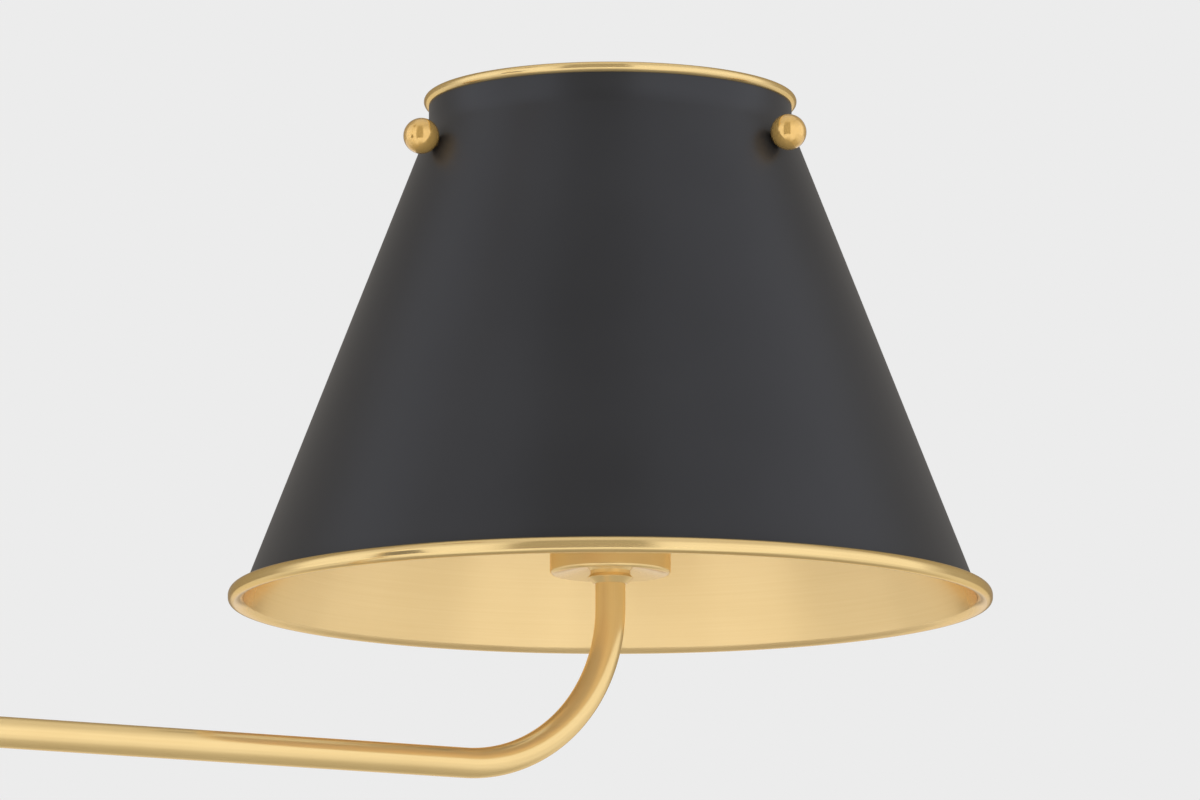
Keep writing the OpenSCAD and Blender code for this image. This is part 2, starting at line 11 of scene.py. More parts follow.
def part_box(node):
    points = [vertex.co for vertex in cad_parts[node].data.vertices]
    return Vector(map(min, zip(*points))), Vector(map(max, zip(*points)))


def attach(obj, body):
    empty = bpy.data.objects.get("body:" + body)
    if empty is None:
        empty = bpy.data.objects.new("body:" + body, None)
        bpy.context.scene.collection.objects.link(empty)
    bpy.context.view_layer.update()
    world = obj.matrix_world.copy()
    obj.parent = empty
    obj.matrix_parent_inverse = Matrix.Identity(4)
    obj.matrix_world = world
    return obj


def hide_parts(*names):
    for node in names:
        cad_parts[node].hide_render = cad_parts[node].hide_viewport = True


bl_info = {
    "name": "Linear chandelier",
    "version": (1, 0, 0),
    "blender": (4, 5, 0),
    "location": "3D View > Sidebar > Chandelier",
    "description": "Dresses the chandelier's frame in smooth brass, black paint and a studio",
    "category": "Object",
}

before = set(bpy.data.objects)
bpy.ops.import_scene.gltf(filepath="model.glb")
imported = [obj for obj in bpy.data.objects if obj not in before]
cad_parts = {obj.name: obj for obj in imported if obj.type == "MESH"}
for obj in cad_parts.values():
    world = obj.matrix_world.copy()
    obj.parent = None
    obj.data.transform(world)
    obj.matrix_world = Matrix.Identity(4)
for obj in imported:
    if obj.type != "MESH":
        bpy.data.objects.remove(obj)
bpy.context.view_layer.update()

SIDES = {"right": 0.0, "left": math.pi}
SCREW_ANGLES = (math.pi, math.radians(300), math.radians(60))


def levels(node):
    """The lowest and the highest level of a CAD node."""
    low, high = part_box(node)
    return low.z, high.z


def middle(node):
    """The middle of a CAD node's box."""
    low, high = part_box(node)
    return (low + high) / 2


# Places that the frame gives
SHADE_AXIS = middle("right_arm_collar").x
ARM_LEVEL = middle("right_arm_ferrule").z
SEAT_LEVEL = levels("right_arm_collar")[1]

# Meshing: points closer than this are one, steeper edges are sharp, and radii this near are the same
MERGE = 1e-7
SHARP = math.radians(40)
NEAR = 1e-6

# Small sizes in metres: roundings of edges
COLLAR_EDGE = 0.00012
NUT_EDGE = 0.0002
RIM_EDGE = 0.0003
SPIDER_EDGE = 0.0004
BOSS_EDGE = 0.0005
SOCKET_EDGE = 0.0006
NUT_CHAMFER = 0.0007
SCREW_TIP = 0.0004
CAP_LIP = 0.0004

# Threads as (pitch, depth): ball screws and studs, nipples, outside of the sockets, bulb caps
SCREW_THREAD = (0.0008, 0.0003)
NIPPLE_THREAD = (0.00094, 0.0004)
SOCKET_THREAD = (0.0024, 0.0007)
CAP_THREAD = (0.0036, 0.0012)

# Fits, sheets and heights of the hidden hardware
TAPPED_FIT = 0.00005
SHELL_FIT = 0.0002
SHELL_SHEET = 0.0004
SHOULDER_HEIGHT = 0.003
SOCKET_PLAIN = 0.003
FLANGE_HEIGHT = 0.0025
SWIVEL_PLAIN = 0.0085
WELD_OUT = 0.0012
WELD_LENGTH = 0.003
FLUTE_DEPTH = 0.0005
FLUTES = 60

# Degrees that the rolled bead turns over the shell, and that a cup's lower edge turns into its dished floor
ROLL_TURN = 165
CUP_TURN = 96

# Roundings: the most of an edge that one takes, and where the points beside it stand, which keep flats flat
EASE_SHARE = 0.3
HOLD_SHARE = 1.4


def length(name, description, default):
    """A size in metres."""
    return FloatProperty(name=name, description=description, default=default, unit="LENGTH", precision=4)


def turn(name, description, degrees):
    """An angle, given in degrees."""
    return FloatProperty(name=name, description=description, default=math.radians(degrees), unit="ROTATION")


def colour(name, description, default):
    """A linear colour."""
    return FloatVectorProperty(
        name=name, description=description, default=default, subtype="COLOR", size=3, min=0.0, max=1.0
    )


def plain(name, description, default):
    """A number without a unit."""
    return FloatProperty(name=name, description=description, default=default)


class ShadeSizes(bpy.types.PropertyGroup):
    """Sizes of a shade and its ball screws."""

    bottom: length("Bottom", "Diameter over the rolled bottom bead", 0.3048)
    top: length("Top", "Diameter over the top bead", 0.150)
    height: length("Height", "Height between the middles of the two beads", 0.201)
    neck: length("Neck", "Height of the straight neck under the top bead", 0.011)
    neck_bend: length("Neck bend", "Radius between the cone and the neck", 0.020)
    shell_sheet: length("Shell sheet", "Thickness of the painted shell", 0.0006)
    lining_sheet: length("Lining sheet", "Thickness of the brass lining", 0.0004)
    bottom_bead: length("Bottom bead", "Diameter of the rolled bottom bead", 0.0064)
    flare: length("Flare", "Radius at which the lining turns out into the bottom bead", 0.0045)
    top_bead: length("Top bead", "Diameter of the top bead", 0.004)
    curl_lap: length("Curl lap", "How deep the sheet runs into the bottom bead", 0.0001)
    shade_turn: turn("Turn", "How far the shade is turned from square with the arm", -3.0)
    ball: length("Ball", "Diameter of the ball heads", 0.0144)
    ball_flat: length("Ball flat", "Diameter of the flat that a ball head seats on", 0.0059)
    screw: length("Screw", "Diameter of the ball screws and the canopy's studs", 0.0042)
    screw_drop: length("Screw drop", "Distance of the ball screws below the top bead", 0.0235)
    boss: length("Boss", "Diameter of the spider's tapped bosses", 0.009)
    boss_length: length("Boss length", "Length of the spider's tapped bosses", 0.008)
    gap: length("Gap", "Clearance between the pieces that turn", 0.0003)


class TubeSizes(bpy.types.PropertyGroup):
    """Sizes of the tubes, the collars and the socket cups."""

    tube: length("Tube", "Outside diameter of the tubes", 0.012)
    wall: length("Wall", "Wall of the tubes", 0.0012)
    bend: length("Bend", "Radius of the arm's bend", 0.066)
    collar: length("Collar", "Diameter of a collar's flare and ring", 0.0185)
    groove: length("Groove", "Diameter of a collar's groove", 0.0159)
    tail: length("Tail", "Diameter of a collar's thin end", 0.013)
    collar_height: length("Collar height", "Height of a collar", 0.007)
    ring_rise: length("Ring rise", "Height of a collar's ring above its thin end", 0.0024)
    groove_rise: length("Groove rise", "Height of a collar's groove above its thin end", 0.0039)
    groove_width: length("Groove width", "Width of the groove's floor", 0.0014)
    cup: length("Cup", "Diameter of the socket cup", 0.0484)
    cup_height: length("Cup height", "Height of the socket cup", 0.016)
    cup_sheet: length("Cup sheet", "Thickness of the socket cup", 0.0012)
    cup_edge: length("Cup edge", "Rounding of the cup's lower edge", 0.0015)
    cup_dish: length("Cup dish", "How far the cup's floor is dished up", 0.0031)


class LampSizes(bpy.types.PropertyGroup):
    """Sizes of the sockets, the spiders and the bulbs."""

    nipple: length("Nipple", "Diameter of the threaded nipples", 0.0096)
    nipple_bore: length("Nipple bore", "Bore of the threaded nipples", 0.0074)
    nut_flats: length("Nut flats", "Size across the flats of the nuts", 0.015)
    socket: length("Socket", "Diameter of the socket below its shoulder", 0.038)
    socket_thread: length("Socket thread", "Diameter of the socket's threaded end", 0.040)
    shoulder: length("Shoulder", "Diameter of the socket's shoulder", 0.045)
    socket_bore: length("Socket bore", "Diameter of the socket's hollow", 0.0282)
    ring_width: length("Ring width", "Width of the spider's ring", 0.010)
    ring_thickness: length("Ring thickness", "Thickness of the spider's ring", 0.0025)
    leg: length("Leg", "Diameter of the spider's legs", 0.0044)
    bulb: length("Bulb", "Diameter of the bulb", 0.060)
    bulb_rise: length("Bulb rise", "Height of the bulb's widest part above its cap", 0.050)
    bulb_cap: length("Bulb cap", "Diameter of the bulb's screw cap", 0.0262)
    glass: length("Glass", "Wall of the bulb", 0.0008)


class CeilingSizes(bpy.types.PropertyGroup):
    """Sizes of the hub, the coupling and the canopy."""

    hub: length("Hub", "Diameter of the hub ball", 0.038)
    coupling: length("Coupling", "Length of the coupling on the stem", 0.016)
    canopy: length("Canopy", "Diameter of the canopy", 0.127)
    canopy_height: length("Canopy height", "Height of the canopy", 0.024)
    canopy_sheet: length("Canopy sheet", "Thickness of the canopy", 0.0012)
    canopy_edge: length("Canopy edge", "Rounding of the canopy's lower edge", 0.008)


class FinishColours(bpy.types.PropertyGroup):
    """Colours of the finishes."""

    brass: colour("Satin brass", "Lacquered satin brass of the turned pieces", (0.86, 0.635, 0.285))
    ball: colour("Ball brass", "Turned brass of the ball heads", (0.82, 0.515, 0.15))
    brass_edge: colour("Brass edge", "Tint of brass that is seen at a low angle", (0.85, 0.66, 0.36))
    lining: colour("Lining", "Brushed brass inside the shades", (0.91, 0.674, 0.32))
    black: colour("Satin black", "Black paint on the shades", (0.0185, 0.0188, 0.0200))
    steel: colour("Plated steel", "Zinc plating on the hidden steel", (0.62, 0.63, 0.64))
    moulded: colour("Moulded socket", "Dark moulded socket body", (0.020, 0.014, 0.011))
    opal: colour("Opal glass", "Frosted glass of the bulbs", (0.88, 0.86, 0.81))
    jacket: colour("Wire jacket", "Jacket of the wires", (0.68, 0.60, 0.40))
    green: colour("Green screw", "Green plating of the ground screw", (0.05, 0.22, 0.08))


class StudioSettings(bpy.types.PropertyGroup):
    """The camera's place and the studio's light."""

    azimuth: turn("Azimuth", "Side that the camera stands on, from square with the arms", -30.0)
    distance: length("Distance", "Level distance of the camera from the right shade's axis", 3.258)
    drop: length("Drop", "Depth of the camera below the bottom bead", 0.445)
    tilt: turn("Tilt", "How far the camera looks up", 9.15)
    aim: turn("Aim", "How far the camera looks to the left of the shade's axis", 0.0724)
    lens: FloatProperty(name="Lens", description="Focal length", default=247.35, unit="CAMERA")
    floor_drop: length("Floor", "Depth of the floor below the hub", 1.15)
    floor_grey: plain("Floor grey", "Brightness of the floor's own colour", 0.8)
    floor_glow: plain("Floor glow", "Share of the backdrop's brightness in the floor", 0.8)
    pale: plain("Pale", "Brightness of the backdrop, where 1 is white", 0.839)
    mirrored: plain("Mirrored", "Share of the backdrop that metal mirrors from all sides", 0.1)
    light: plain("Light", "Strength of the studio's light", 1.22)
    dim: colour("Dim", "Colour of the dim rest of the studio", (0.15, 0.125, 0.085))
    bright: colour("Bright", "Colour in the middle of the softboxes", (0.89, 0.91, 1.0))


class ChandelierSettings(bpy.types.PropertyGroup):
    """All the sizes, colours and studio settings."""

    shade: PointerProperty(type=ShadeSizes)
    tube: PointerProperty(type=TubeSizes)
    lamp: PointerProperty(type=LampSizes)
    ceiling: PointerProperty(type=CeilingSizes)
    finish: PointerProperty(type=FinishColours)
    studio: PointerProperty(type=StudioSettings)


def settings():
    """The settings of this scene."""
    return bpy.context.scene.chandelier


def rim_level():
    """The height of the middle of the shades' bottom beads."""
    return middle("right_shade_top_bead").z - settings().shade.height


# Half sections, as (radius, height) points


def arc(radius_at, height_at, radius, start, end, steps=20):
    """Points on an arc between two angles in degrees."""
    angles = [math.radians(start + (end - start) * i / steps) for i in range(steps + 1)]
    return [(radius_at + radius * math.cos(a), height_at + radius * math.sin(a)) for a in angles]


def run_up(start, end, steps):
    """Points from one place up to, but without, another."""
    return [Vector(start).lerp(Vector(end), i / steps) for i in range(steps)]


def eased(corners, radius, closed=True, steps=5):
    """A section with its corners rounded, and a point beside each rounding that keeps the flats flat."""
    count = len(corners)
    points = []
    for i, here in enumerate(corners):
        if not closed and i in (0, count - 1):
            points.append(here)
            continue
        corner = Vector(here)
        back = Vector(corners[i - 1]) - corner
        ahead = Vector(corners[(i + 1) % count]) - corner
        half = back.angle(ahead) / 2
        reach = min(radius / math.tan(half), EASE_SHARE * back.length, EASE_SHARE * ahead.length)
        back.normalize()
        ahead.normalize()
        points.append(tuple(corner + back * reach * HOLD_SHARE))
        for step in range(steps + 1):
            t = step / steps
            first = corner + back * reach * (1 - t)
            second = corner + ahead * reach * t
            points.append(tuple(first.lerp(second, t)))
        points.append(tuple(corner + ahead * reach * HOLD_SHARE))
    return points


def stepped(radius, low, high, kind, rows=8):
    """Points up a straight side, with rows for each turn of the kind of thread that it carries."""
    count = max(2, math.ceil((high - low) / (kind[0] / rows)))
    return [(radius, low + (high - low) * i / count) for i in range(count + 1)]


def thread(radius, low, high, kind):
    """A kind of thread on the part of a section that stands out to a radius between two heights."""
    pitch, depth = kind

    def cut(r, z, angle):
        if r < radius - NEAR or not low < z < high:
            return r
        run = min(1.0, (z - low) / pitch, (high - z) / pitch)
        wave = 0.5 + 0.5 * math.cos(2 * math.pi * z / pitch - angle)
        return r - depth * wave * run

    return cut


def hexagon(flats):
    """Six flats on the outside of a section."""

    def cut(r, z, angle):
        sixth = math.pi / 3
        return min(r, flats / 2 / math.cos((angle + sixth / 2) % sixth - sixth / 2))

    return cut


def fluted(radius, depth, count):
    """Fine flutes on the part of a section that stands out to a radius."""

    def cut(r, z, angle):
        return r - depth * (0.5 + 0.5 * math.cos(count * angle)) if r > radius - NEAR else r

    return cut


# Meshes


def smooth_mesh(points, faces, grain):
    """A smooth mesh that carries the direction of its grain."""
    mesh = bpy.data.meshes.new("piece")
    mesh.from_pydata(points, [], faces)
    marks = mesh.attributes.new("grain", "FLOAT_VECTOR", "POINT")
    marks.data.foreach_set("vector", [value for mark in grain for value in mark])
    welded = bmesh.new()
    welded.from_mesh(mesh)
    bmesh.ops.remove_doubles(welded, verts=welded.verts, dist=MERGE)
    bmesh.ops.recalc_face_normals(welded, faces=welded.faces)
    welded.to_mesh(mesh)
    welded.free()
    mesh.shade_smooth()
    mesh.set_sharp_from_angle(angle=SHARP)
    return mesh


def grid_faces(rows, columns, closed_columns):
    """Quads of a grid of points that is stored row by row. Its last row joins its first."""
    faces = []
    for i in range(rows):
        below, above = i * columns, (i + 1) % rows * columns
        for j in range(columns if closed_columns else columns - 1):
            k = (j + 1) % columns
            faces.append((below + j, below + k, above + k, above + j))
    return faces


def lathe(section, closed=True, turns=160, cuts=()):
    """Turns a half section about Z. An open section starts and ends on the axis."""
    mean = sum(r for r, z in section) / len(section)
    along = [0.0]
    for (r0, z0), (r1, z1) in zip(section, section[1:]):
        along.append(along[-1] + math.hypot(r1 - r0, z1 - z0))
    points = []
    grain = []
    for i in range(turns):
        angle = 2 * math.pi * i / turns
        c, s = math.cos(angle), math.sin(angle)
        for (r, z), run in zip(section, along):
            for cut in cuts:
                r = cut(r, z, angle)
            points.append((r * c, r * s, z))
            grain.append((mean * c, mean * s, run))
    return smooth_mesh(points, grid_faces(turns, len(section), closed), grain)


def drawn_tube(path, around=96):
    """Draws a tube along a path of points in the XZ plane."""
    t = settings().tube
    outer = t.tube / 2
    across = Vector((0, 1, 0))
    rings = []
    run = 0.0
    for i, here in enumerate(path):
        ahead = path[min(i + 1, len(path) - 1)] - path[max(i - 1, 0)]
        run += (here - path[i - 1]).length if i else 0.0
        rings.append((here, across.cross(ahead).normalized(), run))
    order = [(ring, outer) for ring in rings] + [(ring, outer - t.wall) for ring in reversed(rings)]
    points = []
    grain = []
    for (here, side, run), radius in order:
        for j in range(around):
            angle = 2 * math.pi * j / around
            c, s = math.cos(angle), math.sin(angle)
            points.append(here + (side * c + across * s) * radius)
            grain.append((outer * c, outer * s, run))
    return smooth_mesh(points, grid_faces(len(order), around, True), grain)


def joined(parts):
    """One mesh from (mesh, place) pairs."""
    whole = bmesh.new()
    for mesh, place in parts:
        mesh.transform(place)
        whole.from_mesh(mesh)
        bpy.data.meshes.remove(mesh)
    mesh = bpy.data.meshes.new("piece")
    whole.to_mesh(mesh)
    whole.free()
    return mesh


# Pieces on the frame

# The bodies that most pieces ride on
HANGING = "hanging_frame"
CEILING = "ceiling_mount"

# Finishes whose slot in the record has another name
SLOTS = dict.fromkeys(("turned_brass", "spun_brass", "drawn_brass", "milled_brass"), "satin_brass")


def set_piece(name, mesh, place, stands_for, material, body=HANGING, slot=None):
    """Puts a piece on the body it moves with, in place of the node it stands for."""
    mesh.name = name
    mesh.materials.append(finish(material))
    piece = bpy.data.objects.new(name, mesh)
    bpy.context.scene.collection.objects.link(piece)
    piece.matrix_world = place
    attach(piece, body)
    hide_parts(stands_for)


def finish_node(name, material):
    """Gives a CAD node that stays in view its finish."""
    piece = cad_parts[name]
    if not piece.data.materials:
        piece.data.materials.append(finish(material))
    for place in piece.material_slots:
        place.material = finish(material)


def moved(x, z):
    """A place in the plane of the arms."""
    return Matrix.Translation((x, 0, z))


def turned(angle, axis):
    """A turn about an axis."""
    return Matrix.Rotation(angle, 4, axis)


def on_side(side, height, twist=0.0):
    """A place on a shade's axis."""
    return turned(SIDES[side], "Z") @ moved(SHADE_AXIS, height) @ turned(twist, "Z")


def set_on_side(side, name, mesh, height, part, material, **options):
    """Puts a piece on a shade's axis, in place of a node of that side."""
    set_piece(f"{side}_{name}", mesh, on_side(side, height), f"{side}_{part}", material, **options)


# Shared shapes


def bead_rings():
    """The radii of the rings that the middles of the bottom and the top bead run on."""
    s = settings().shade
    return (s.bottom - s.bottom_bead) / 2, (s.top - s.top_bead) / 2


def wall_inset():
    """How far inside the bottom bead's middle the outer face of a shade's wall meets it."""
    s = settings().shade
    return s.bottom_bead / 2 - s.curl_lap - s.shell_sheet - s.lining_sheet


def cone_lean():
    """The angle between a shade's wall and its axis."""
    s = settings().shade
    ring, neck = bead_rings()
    run = ring - neck
    rise = s.height - s.neck
    return math.atan(run / rise) - math.asin(wall_inset() / math.hypot(run, rise))


def wall_line(depth, bottom_depth, rows=24):
    """A line in a shade's wall at a depth below its outer face, from the bottom bead up to the top bead."""
    s = settings().shade
    lean = cone_lean()
    ring, neck = bead_rings()
    inset = wall_inset() + bottom_depth
    bend_z = s.height - s.neck + s.neck_bend * math.tan(lean / 2)
    bend = arc(neck + s.neck_bend, bend_z, s.neck_bend + depth, 180 + math.degrees(lean), 180)
    start = (ring - inset * math.cos(lean), -inset * math.sin(lean))
    rise = [tuple(point) for point in run_up(start, bend[0], rows)]
    return rise + bend + [(neck - depth, s.height)]


def screw_place(angle):
    """A ball screw's place on a shade: +Z along the screw, 0 on the cone's outer face."""
    s = settings().shade
    lean = cone_lean()
    foot = bead_rings()[1] + (s.screw_drop - s.neck) * math.tan(lean)
    place = turned(angle, "Z") @ moved(foot, s.height - s.screw_drop)
    return place @ turned(math.pi / 2 - lean, "Y")


def boss_low():
    """The far end of a spider's boss, below the cone's outer face along the screw."""
    s = settings().shade
    return -s.shell_sheet - s.lining_sheet - s.gap - s.boss_length


def ball_head():
    """The rise of a ball head's middle above its flat, and its section from the flat to the crown."""
    s = settings().shade
    radius = s.ball / 2
    rise = math.sqrt(radius**2 - (s.ball_flat / 2) ** 2)
    return rise, arc(0, rise, radius, -math.degrees(math.asin(rise / radius)), 90, steps=64)


def screw_rod(low, high, plain=0.0):
    """The rod of a ball screw or stud, plain at its upper end: its section and its thread."""
    r = settings().shade.screw / 2
    section = [(0.0, low), (r - SCREW_TIP, low)] + stepped(r, low + SCREW_TIP, high, SCREW_THREAD)
    return section, thread(r, low, high - plain, SCREW_THREAD)


def collar_section(bore, flare_end):
    """A turned collar with its thin end at 0: a ring, a groove and a flare that ends as given."""
    t = settings().tube
    corners = [
        (bore, 0.0),
        (t.tail / 2, 0.0),
        (t.collar / 2, t.ring_rise),
        (t.groove / 2, t.groove_rise),
        (t.groove / 2, t.groove_rise + t.groove_width),
        (t.collar / 2, t.collar_height),
    ]
    return eased(corners, COLLAR_EDGE, closed=False) + flare_end


def hub_end(bore, steps=8):
    """The end of a collar that sits on the hub ball, measured from the collar's thin end."""
    t = settings().tube
    hub = settings().ceiling.hub / 2
    points = []
    for i in range(steps + 1):
        r = t.collar / 2 + (bore - t.collar / 2) * i / steps
        points.append((r, hub + t.collar_height - math.sqrt(hub**2 - r**2)))
    return points


def hub_ferrule():
    """A collar that holds a tube on the hub ball."""
    bore = settings().tube.tube / 2
    return lathe(collar_section(bore, hub_end(bore)))


def ring_section(inner, outer, height, edge):
    """A flat ring with eased edges, sitting on 0."""
    return eased([(inner, 0.0), (outer, 0.0), (outer, height), (inner, height)], edge)


def nut(height):
    """A hex nut with chamfered corners, sitting on 0."""
    p = settings().lamp
    flats = p.nut_flats / 2
    corner = flats / math.cos(math.pi / 6)
    bore = p.nipple / 2
    section = [
        (bore, 0.0),
        (flats, 0.0),
        (corner, NUT_CHAMFER),
        (corner, height - NUT_CHAMFER),
        (flats, height),
        (bore, height),
    ]
    return lathe(eased(section, NUT_EDGE), turns=144, cuts=[hexagon(p.nut_flats)])


# Finishes

# Tints of brushed brass: darker and lighter clouds, and the painted shade that darkens tight corners
DARKER = (0.97, 0.955, 0.92)
LIGHTER = (1.03, 1.03, 1.03)
CORNER_SHADE_TINT = (0.5, 0.4, 0.22)
# How far from a corner the painted shade reaches, in metres, and its share there
CORNER_SHADE_REACH = 0.0025
CORNER_SHADE_SHARE = 0.75
# Height of the brush lines, in metres
BRUSH_HEIGHT = 0.00004


def node(tree, kind, inputs=None, **options):
    """Adds a node. An input that is a socket is linked, and any other is set."""
    made = tree.nodes.new(kind)
    for name, value in options.items():
        setattr(made, name, value)
    for name, value in (inputs or {}).items():
        if isinstance(value, bpy.types.NodeSocket):
            tree.links.new(value, made.inputs[name])
        else:
            made.inputs[name].default_value = value
    return made


def maths(tree, operation, *values):
    """The result of a sum."""
    return node(tree, "ShaderNodeMath", dict(enumerate(values)), operation=operation).outputs[0]


def blank(name):
    """A new material, its node tree and its shader."""
    material = bpy.data.materials.new(name)
    material.use_nodes = True
    tree = material.node_tree
    return material, tree, tree.nodes["Principled BSDF"]


def noise(tree, vector, scale, detail, rough=0.5):
    """A noise pattern's height."""
    inputs = {"Vector": vector, "Scale": scale, "Detail": detail, "Roughness": rough}
    return node(tree, "ShaderNodeTexNoise", inputs).outputs["Fac"]


def spread(tree, value, low, high, start=0.3, end=0.7):
    """Maps a pattern to a range."""
    inputs = {"Value": value, "From Min": start, "From Max": end, "To Min": low, "To Max": high}
    return node(tree, "ShaderNodeMapRange", inputs).outputs["Result"]


def mixed(tree, share, first, second):
    """Mixes two colours, each of them a socket or a colour, by a pattern."""
    first, second = (
        part if isinstance(part, bpy.types.NodeSocket) else (*part, 1.0) for part in (first, second)
    )
    return node(tree, "ShaderNodeMix", {0: share, 6: first, 7: second}, data_type="RGBA").outputs[2]


def tinted(tone, factors):
    """A colour with each of its parts multiplied."""
    return tuple(part * factor for part, factor in zip(tone, factors))


def shaded(tone, factor):
    """A lighter or darker colour."""
    return tinted(tone, (factor, factor, factor))


def roughened(tree, shader, height, strength, distance):
    """Raises a pattern on the surface."""
    made = node(tree, "ShaderNodeBump", {"Height": height, "Strength": strength, "Distance": distance})
    tree.links.new(made.outputs["Normal"], shader.inputs["Normal"])


def brushed(
    name, tone, metal, stretch, rough, uneven=0.025, depth=0.03, anisotropy=0.0, lacquer=0.0, marked=True
):
    """Lacquered brass: brush lines along its marked grain, soft clouds, and painted shade in tight corners.
    """
    material, tree, shader = blank(name)
    place = node(tree, "ShaderNodeTexCoord").outputs["Object"]
    grain = place
    if marked:
        grain = node(tree, "ShaderNodeAttribute", attribute_name="grain").outputs["Vector"]
    drawn_out = node(tree, "ShaderNodeVectorMath", {0: grain, 1: stretch}, operation="MULTIPLY")
    lines = noise(tree, drawn_out.outputs["Vector"], scale=1.0, detail=4.0, rough=0.65)
    clouds = noise(tree, place, scale=22.0, detail=3.0)
    both = maths(tree, "ADD", lines, clouds)
    span = {"start": 0.75, "end": 1.25}
    pattern = spread(tree, both, 0.0, 1.0, **span)
    unshaded_tone = mixed(tree, pattern, tinted(tone, DARKER), tinted(tone, LIGHTER))
    # Painted shade: ambient occlusion darkens and warms the colour in tight corners, where parts meet
    reach = {"Distance": CORNER_SHADE_REACH}
    open_air = node(tree, "ShaderNodeAmbientOcclusion", reach, samples=8).outputs["AO"]
    corners = spread(tree, open_air, CORNER_SHADE_SHARE, 0.0, start=0.1, end=0.6)
    corner_shaded_tone = mixed(tree, corners, unshaded_tone, tinted(tone, CORNER_SHADE_TINT))
    gloss = spread(tree, both, rough - uneven, rough + uneven, **span)
    tree.links.new(corner_shaded_tone, shader.inputs["Base Color"])
    tree.links.new(gloss, shader.inputs["Roughness"])
    shader.inputs["Metallic"].default_value = metal
    shader.inputs["Specular Tint"].default_value = (*settings().finish.brass_edge, 1.0)
    shader.inputs["Coat Weight"].default_value = lacquer
    if anisotropy:
        shader.inputs["Anisotropic"].default_value = anisotropy
        shader.inputs["Anisotropic Rotation"].default_value = 0.25
        tangent = node(tree, "ShaderNodeTangent", direction_type="RADIAL", axis="Z")
        tree.links.new(tangent.outputs["Tangent"], shader.inputs["Tangent"])
    roughened(tree, shader, lines, depth, BRUSH_HEIGHT)
    return material


def clouded(name, tones, rough, clouds, fine, depth, height):
    """A material with clouds in its colour and roughness and a fine raised grain, and its shader."""
    material, tree, shader = blank(name)
    place = node(tree, "ShaderNodeTexCoord").outputs["Object"]
    pattern = noise(tree, place, **clouds)
    grain = noise(tree, place, **fine)
    tree.links.new(mixed(tree, spread(tree, pattern, 0.0, 1.0), *tones), shader.inputs["Base Color"])
    tree.links.new(spread(tree, pattern, *rough), shader.inputs["Roughness"])
    roughened(tree, shader, grain, depth, height)
    return material, shader


def painted(name, tone):
    """Satin paint with a fine orange peel and a few rubbed patches."""
    material, shader = clouded(
        name,
        tones=(shaded(tone, 0.9), shaded(tone, 1.12)),
        rough=(0.33, 0.37),
        clouds={"scale": 12.0, "detail": 3.0},
        fine={"scale": 900.0, "detail": 3.0},
        depth=0.12,
        height=0.00005,
    )
    shader.inputs["Specular IOR Level"].default_value = 0.42
    return material


def plated(name, tone, rough):
    """Plated steel with a fine cloudy grain."""
    material, shader = clouded(
        name,
        tones=(shaded(tone, 0.86), tone),
        rough=(rough - 0.06, rough + 0.08),
        clouds={"scale": 60.0, "detail": 4.0},
        fine={"scale": 1800.0, "detail": 2.0},
        depth=0.08,
        height=0.00003,
    )
    shader.inputs["Metallic"].default_value = 1.0
    return material


def moulded(name, tone, rough):
    """A moulded body with a faint mottle."""
    material, shader = clouded(
        name,
        tones=(tone, shaded(tone, 1.5)),
        rough=(rough - 0.05, rough + 0.07),
        clouds={"scale": 240.0, "detail": 4.0},
        fine={"scale": 1500.0, "detail": 2.0},
        depth=0.1,
        height=0.00004,
    )
    return material


def frosted(name, tone):
    """Frosted bulb glass, a little thicker in places."""
    material, shader = clouded(
        name,
        tones=(shaded(tone, 0.95), tone),
        rough=(0.32, 0.4),
        clouds={"scale": 35.0, "detail": 2.0},
        fine={"scale": 2200.0, "detail": 2.0},
        depth=0.05,
        height=0.00002,
    )
    shader.inputs["Transmission Weight"].default_value = 0.35
    shader.inputs["IOR"].default_value = 1.5
    return material


def finish(name):
    """A finish by its short name, made the first time that it is asked for."""
    tones = settings().finish
    makers = {
        "satin_brass": (brushed, tones.brass, dict(metal=0.75, stretch=(14, 14, 1500), rough=0.14)),
        "spun_brass": (
            brushed,
            tones.brass,
            dict(metal=0.55, stretch=(14, 14, 1500), rough=0.15, depth=0.05),
        ),
        "drawn_brass": (brushed, tones.brass, dict(metal=0.58, stretch=(1400, 1400, 14), rough=0.15)),
        "turned_brass": (
            brushed,
            tones.ball,
            dict(metal=0.57, stretch=(20, 20, 1500), rough=0.07, uneven=0.02, depth=0.02, lacquer=1.0),
        ),
        "milled_brass": (
            brushed,
            tones.brass,
            dict(metal=0.58, stretch=(300, 300, 1500), rough=0.2, uneven=0.04, depth=0.05, marked=False),
        ),
        "socket_brass": (
            brushed,
            tones.brass,
            dict(metal=0.58, stretch=(30, 30, 1500), rough=0.26, uneven=0.05, depth=0.05),
        ),
        "lining_brass": (
            brushed,
            tones.lining,
            dict(metal=0.6, stretch=(16, 16, 1100), rough=0.17, uneven=0.03, depth=0.02, anisotropy=0.95),
        ),
        "satin_black": (painted, tones.black, {}),
        "plated_steel": (plated, tones.steel, {"rough": 0.34}),
        "bulb_cap": (plated, tones.steel, {"rough": 0.28}),
        "green_screw": (plated, tones.green, {"rough": 0.36}),
        "phenolic": (moulded, tones.moulded, {"rough": 0.38}),
        "wire_jacket": (moulded, tones.jacket, {"rough": 0.5}),
        "splice_cap": (moulded, tones.jacket, {"rough": 0.45}),
        "bulb_glass": (frosted, tones.opal, {}),
    }
    maker, tone, values = makers[name]
    label = f"{name}_finish"
    return bpy.data.materials.get(label) or maker(label, tone, **values)


# Operators


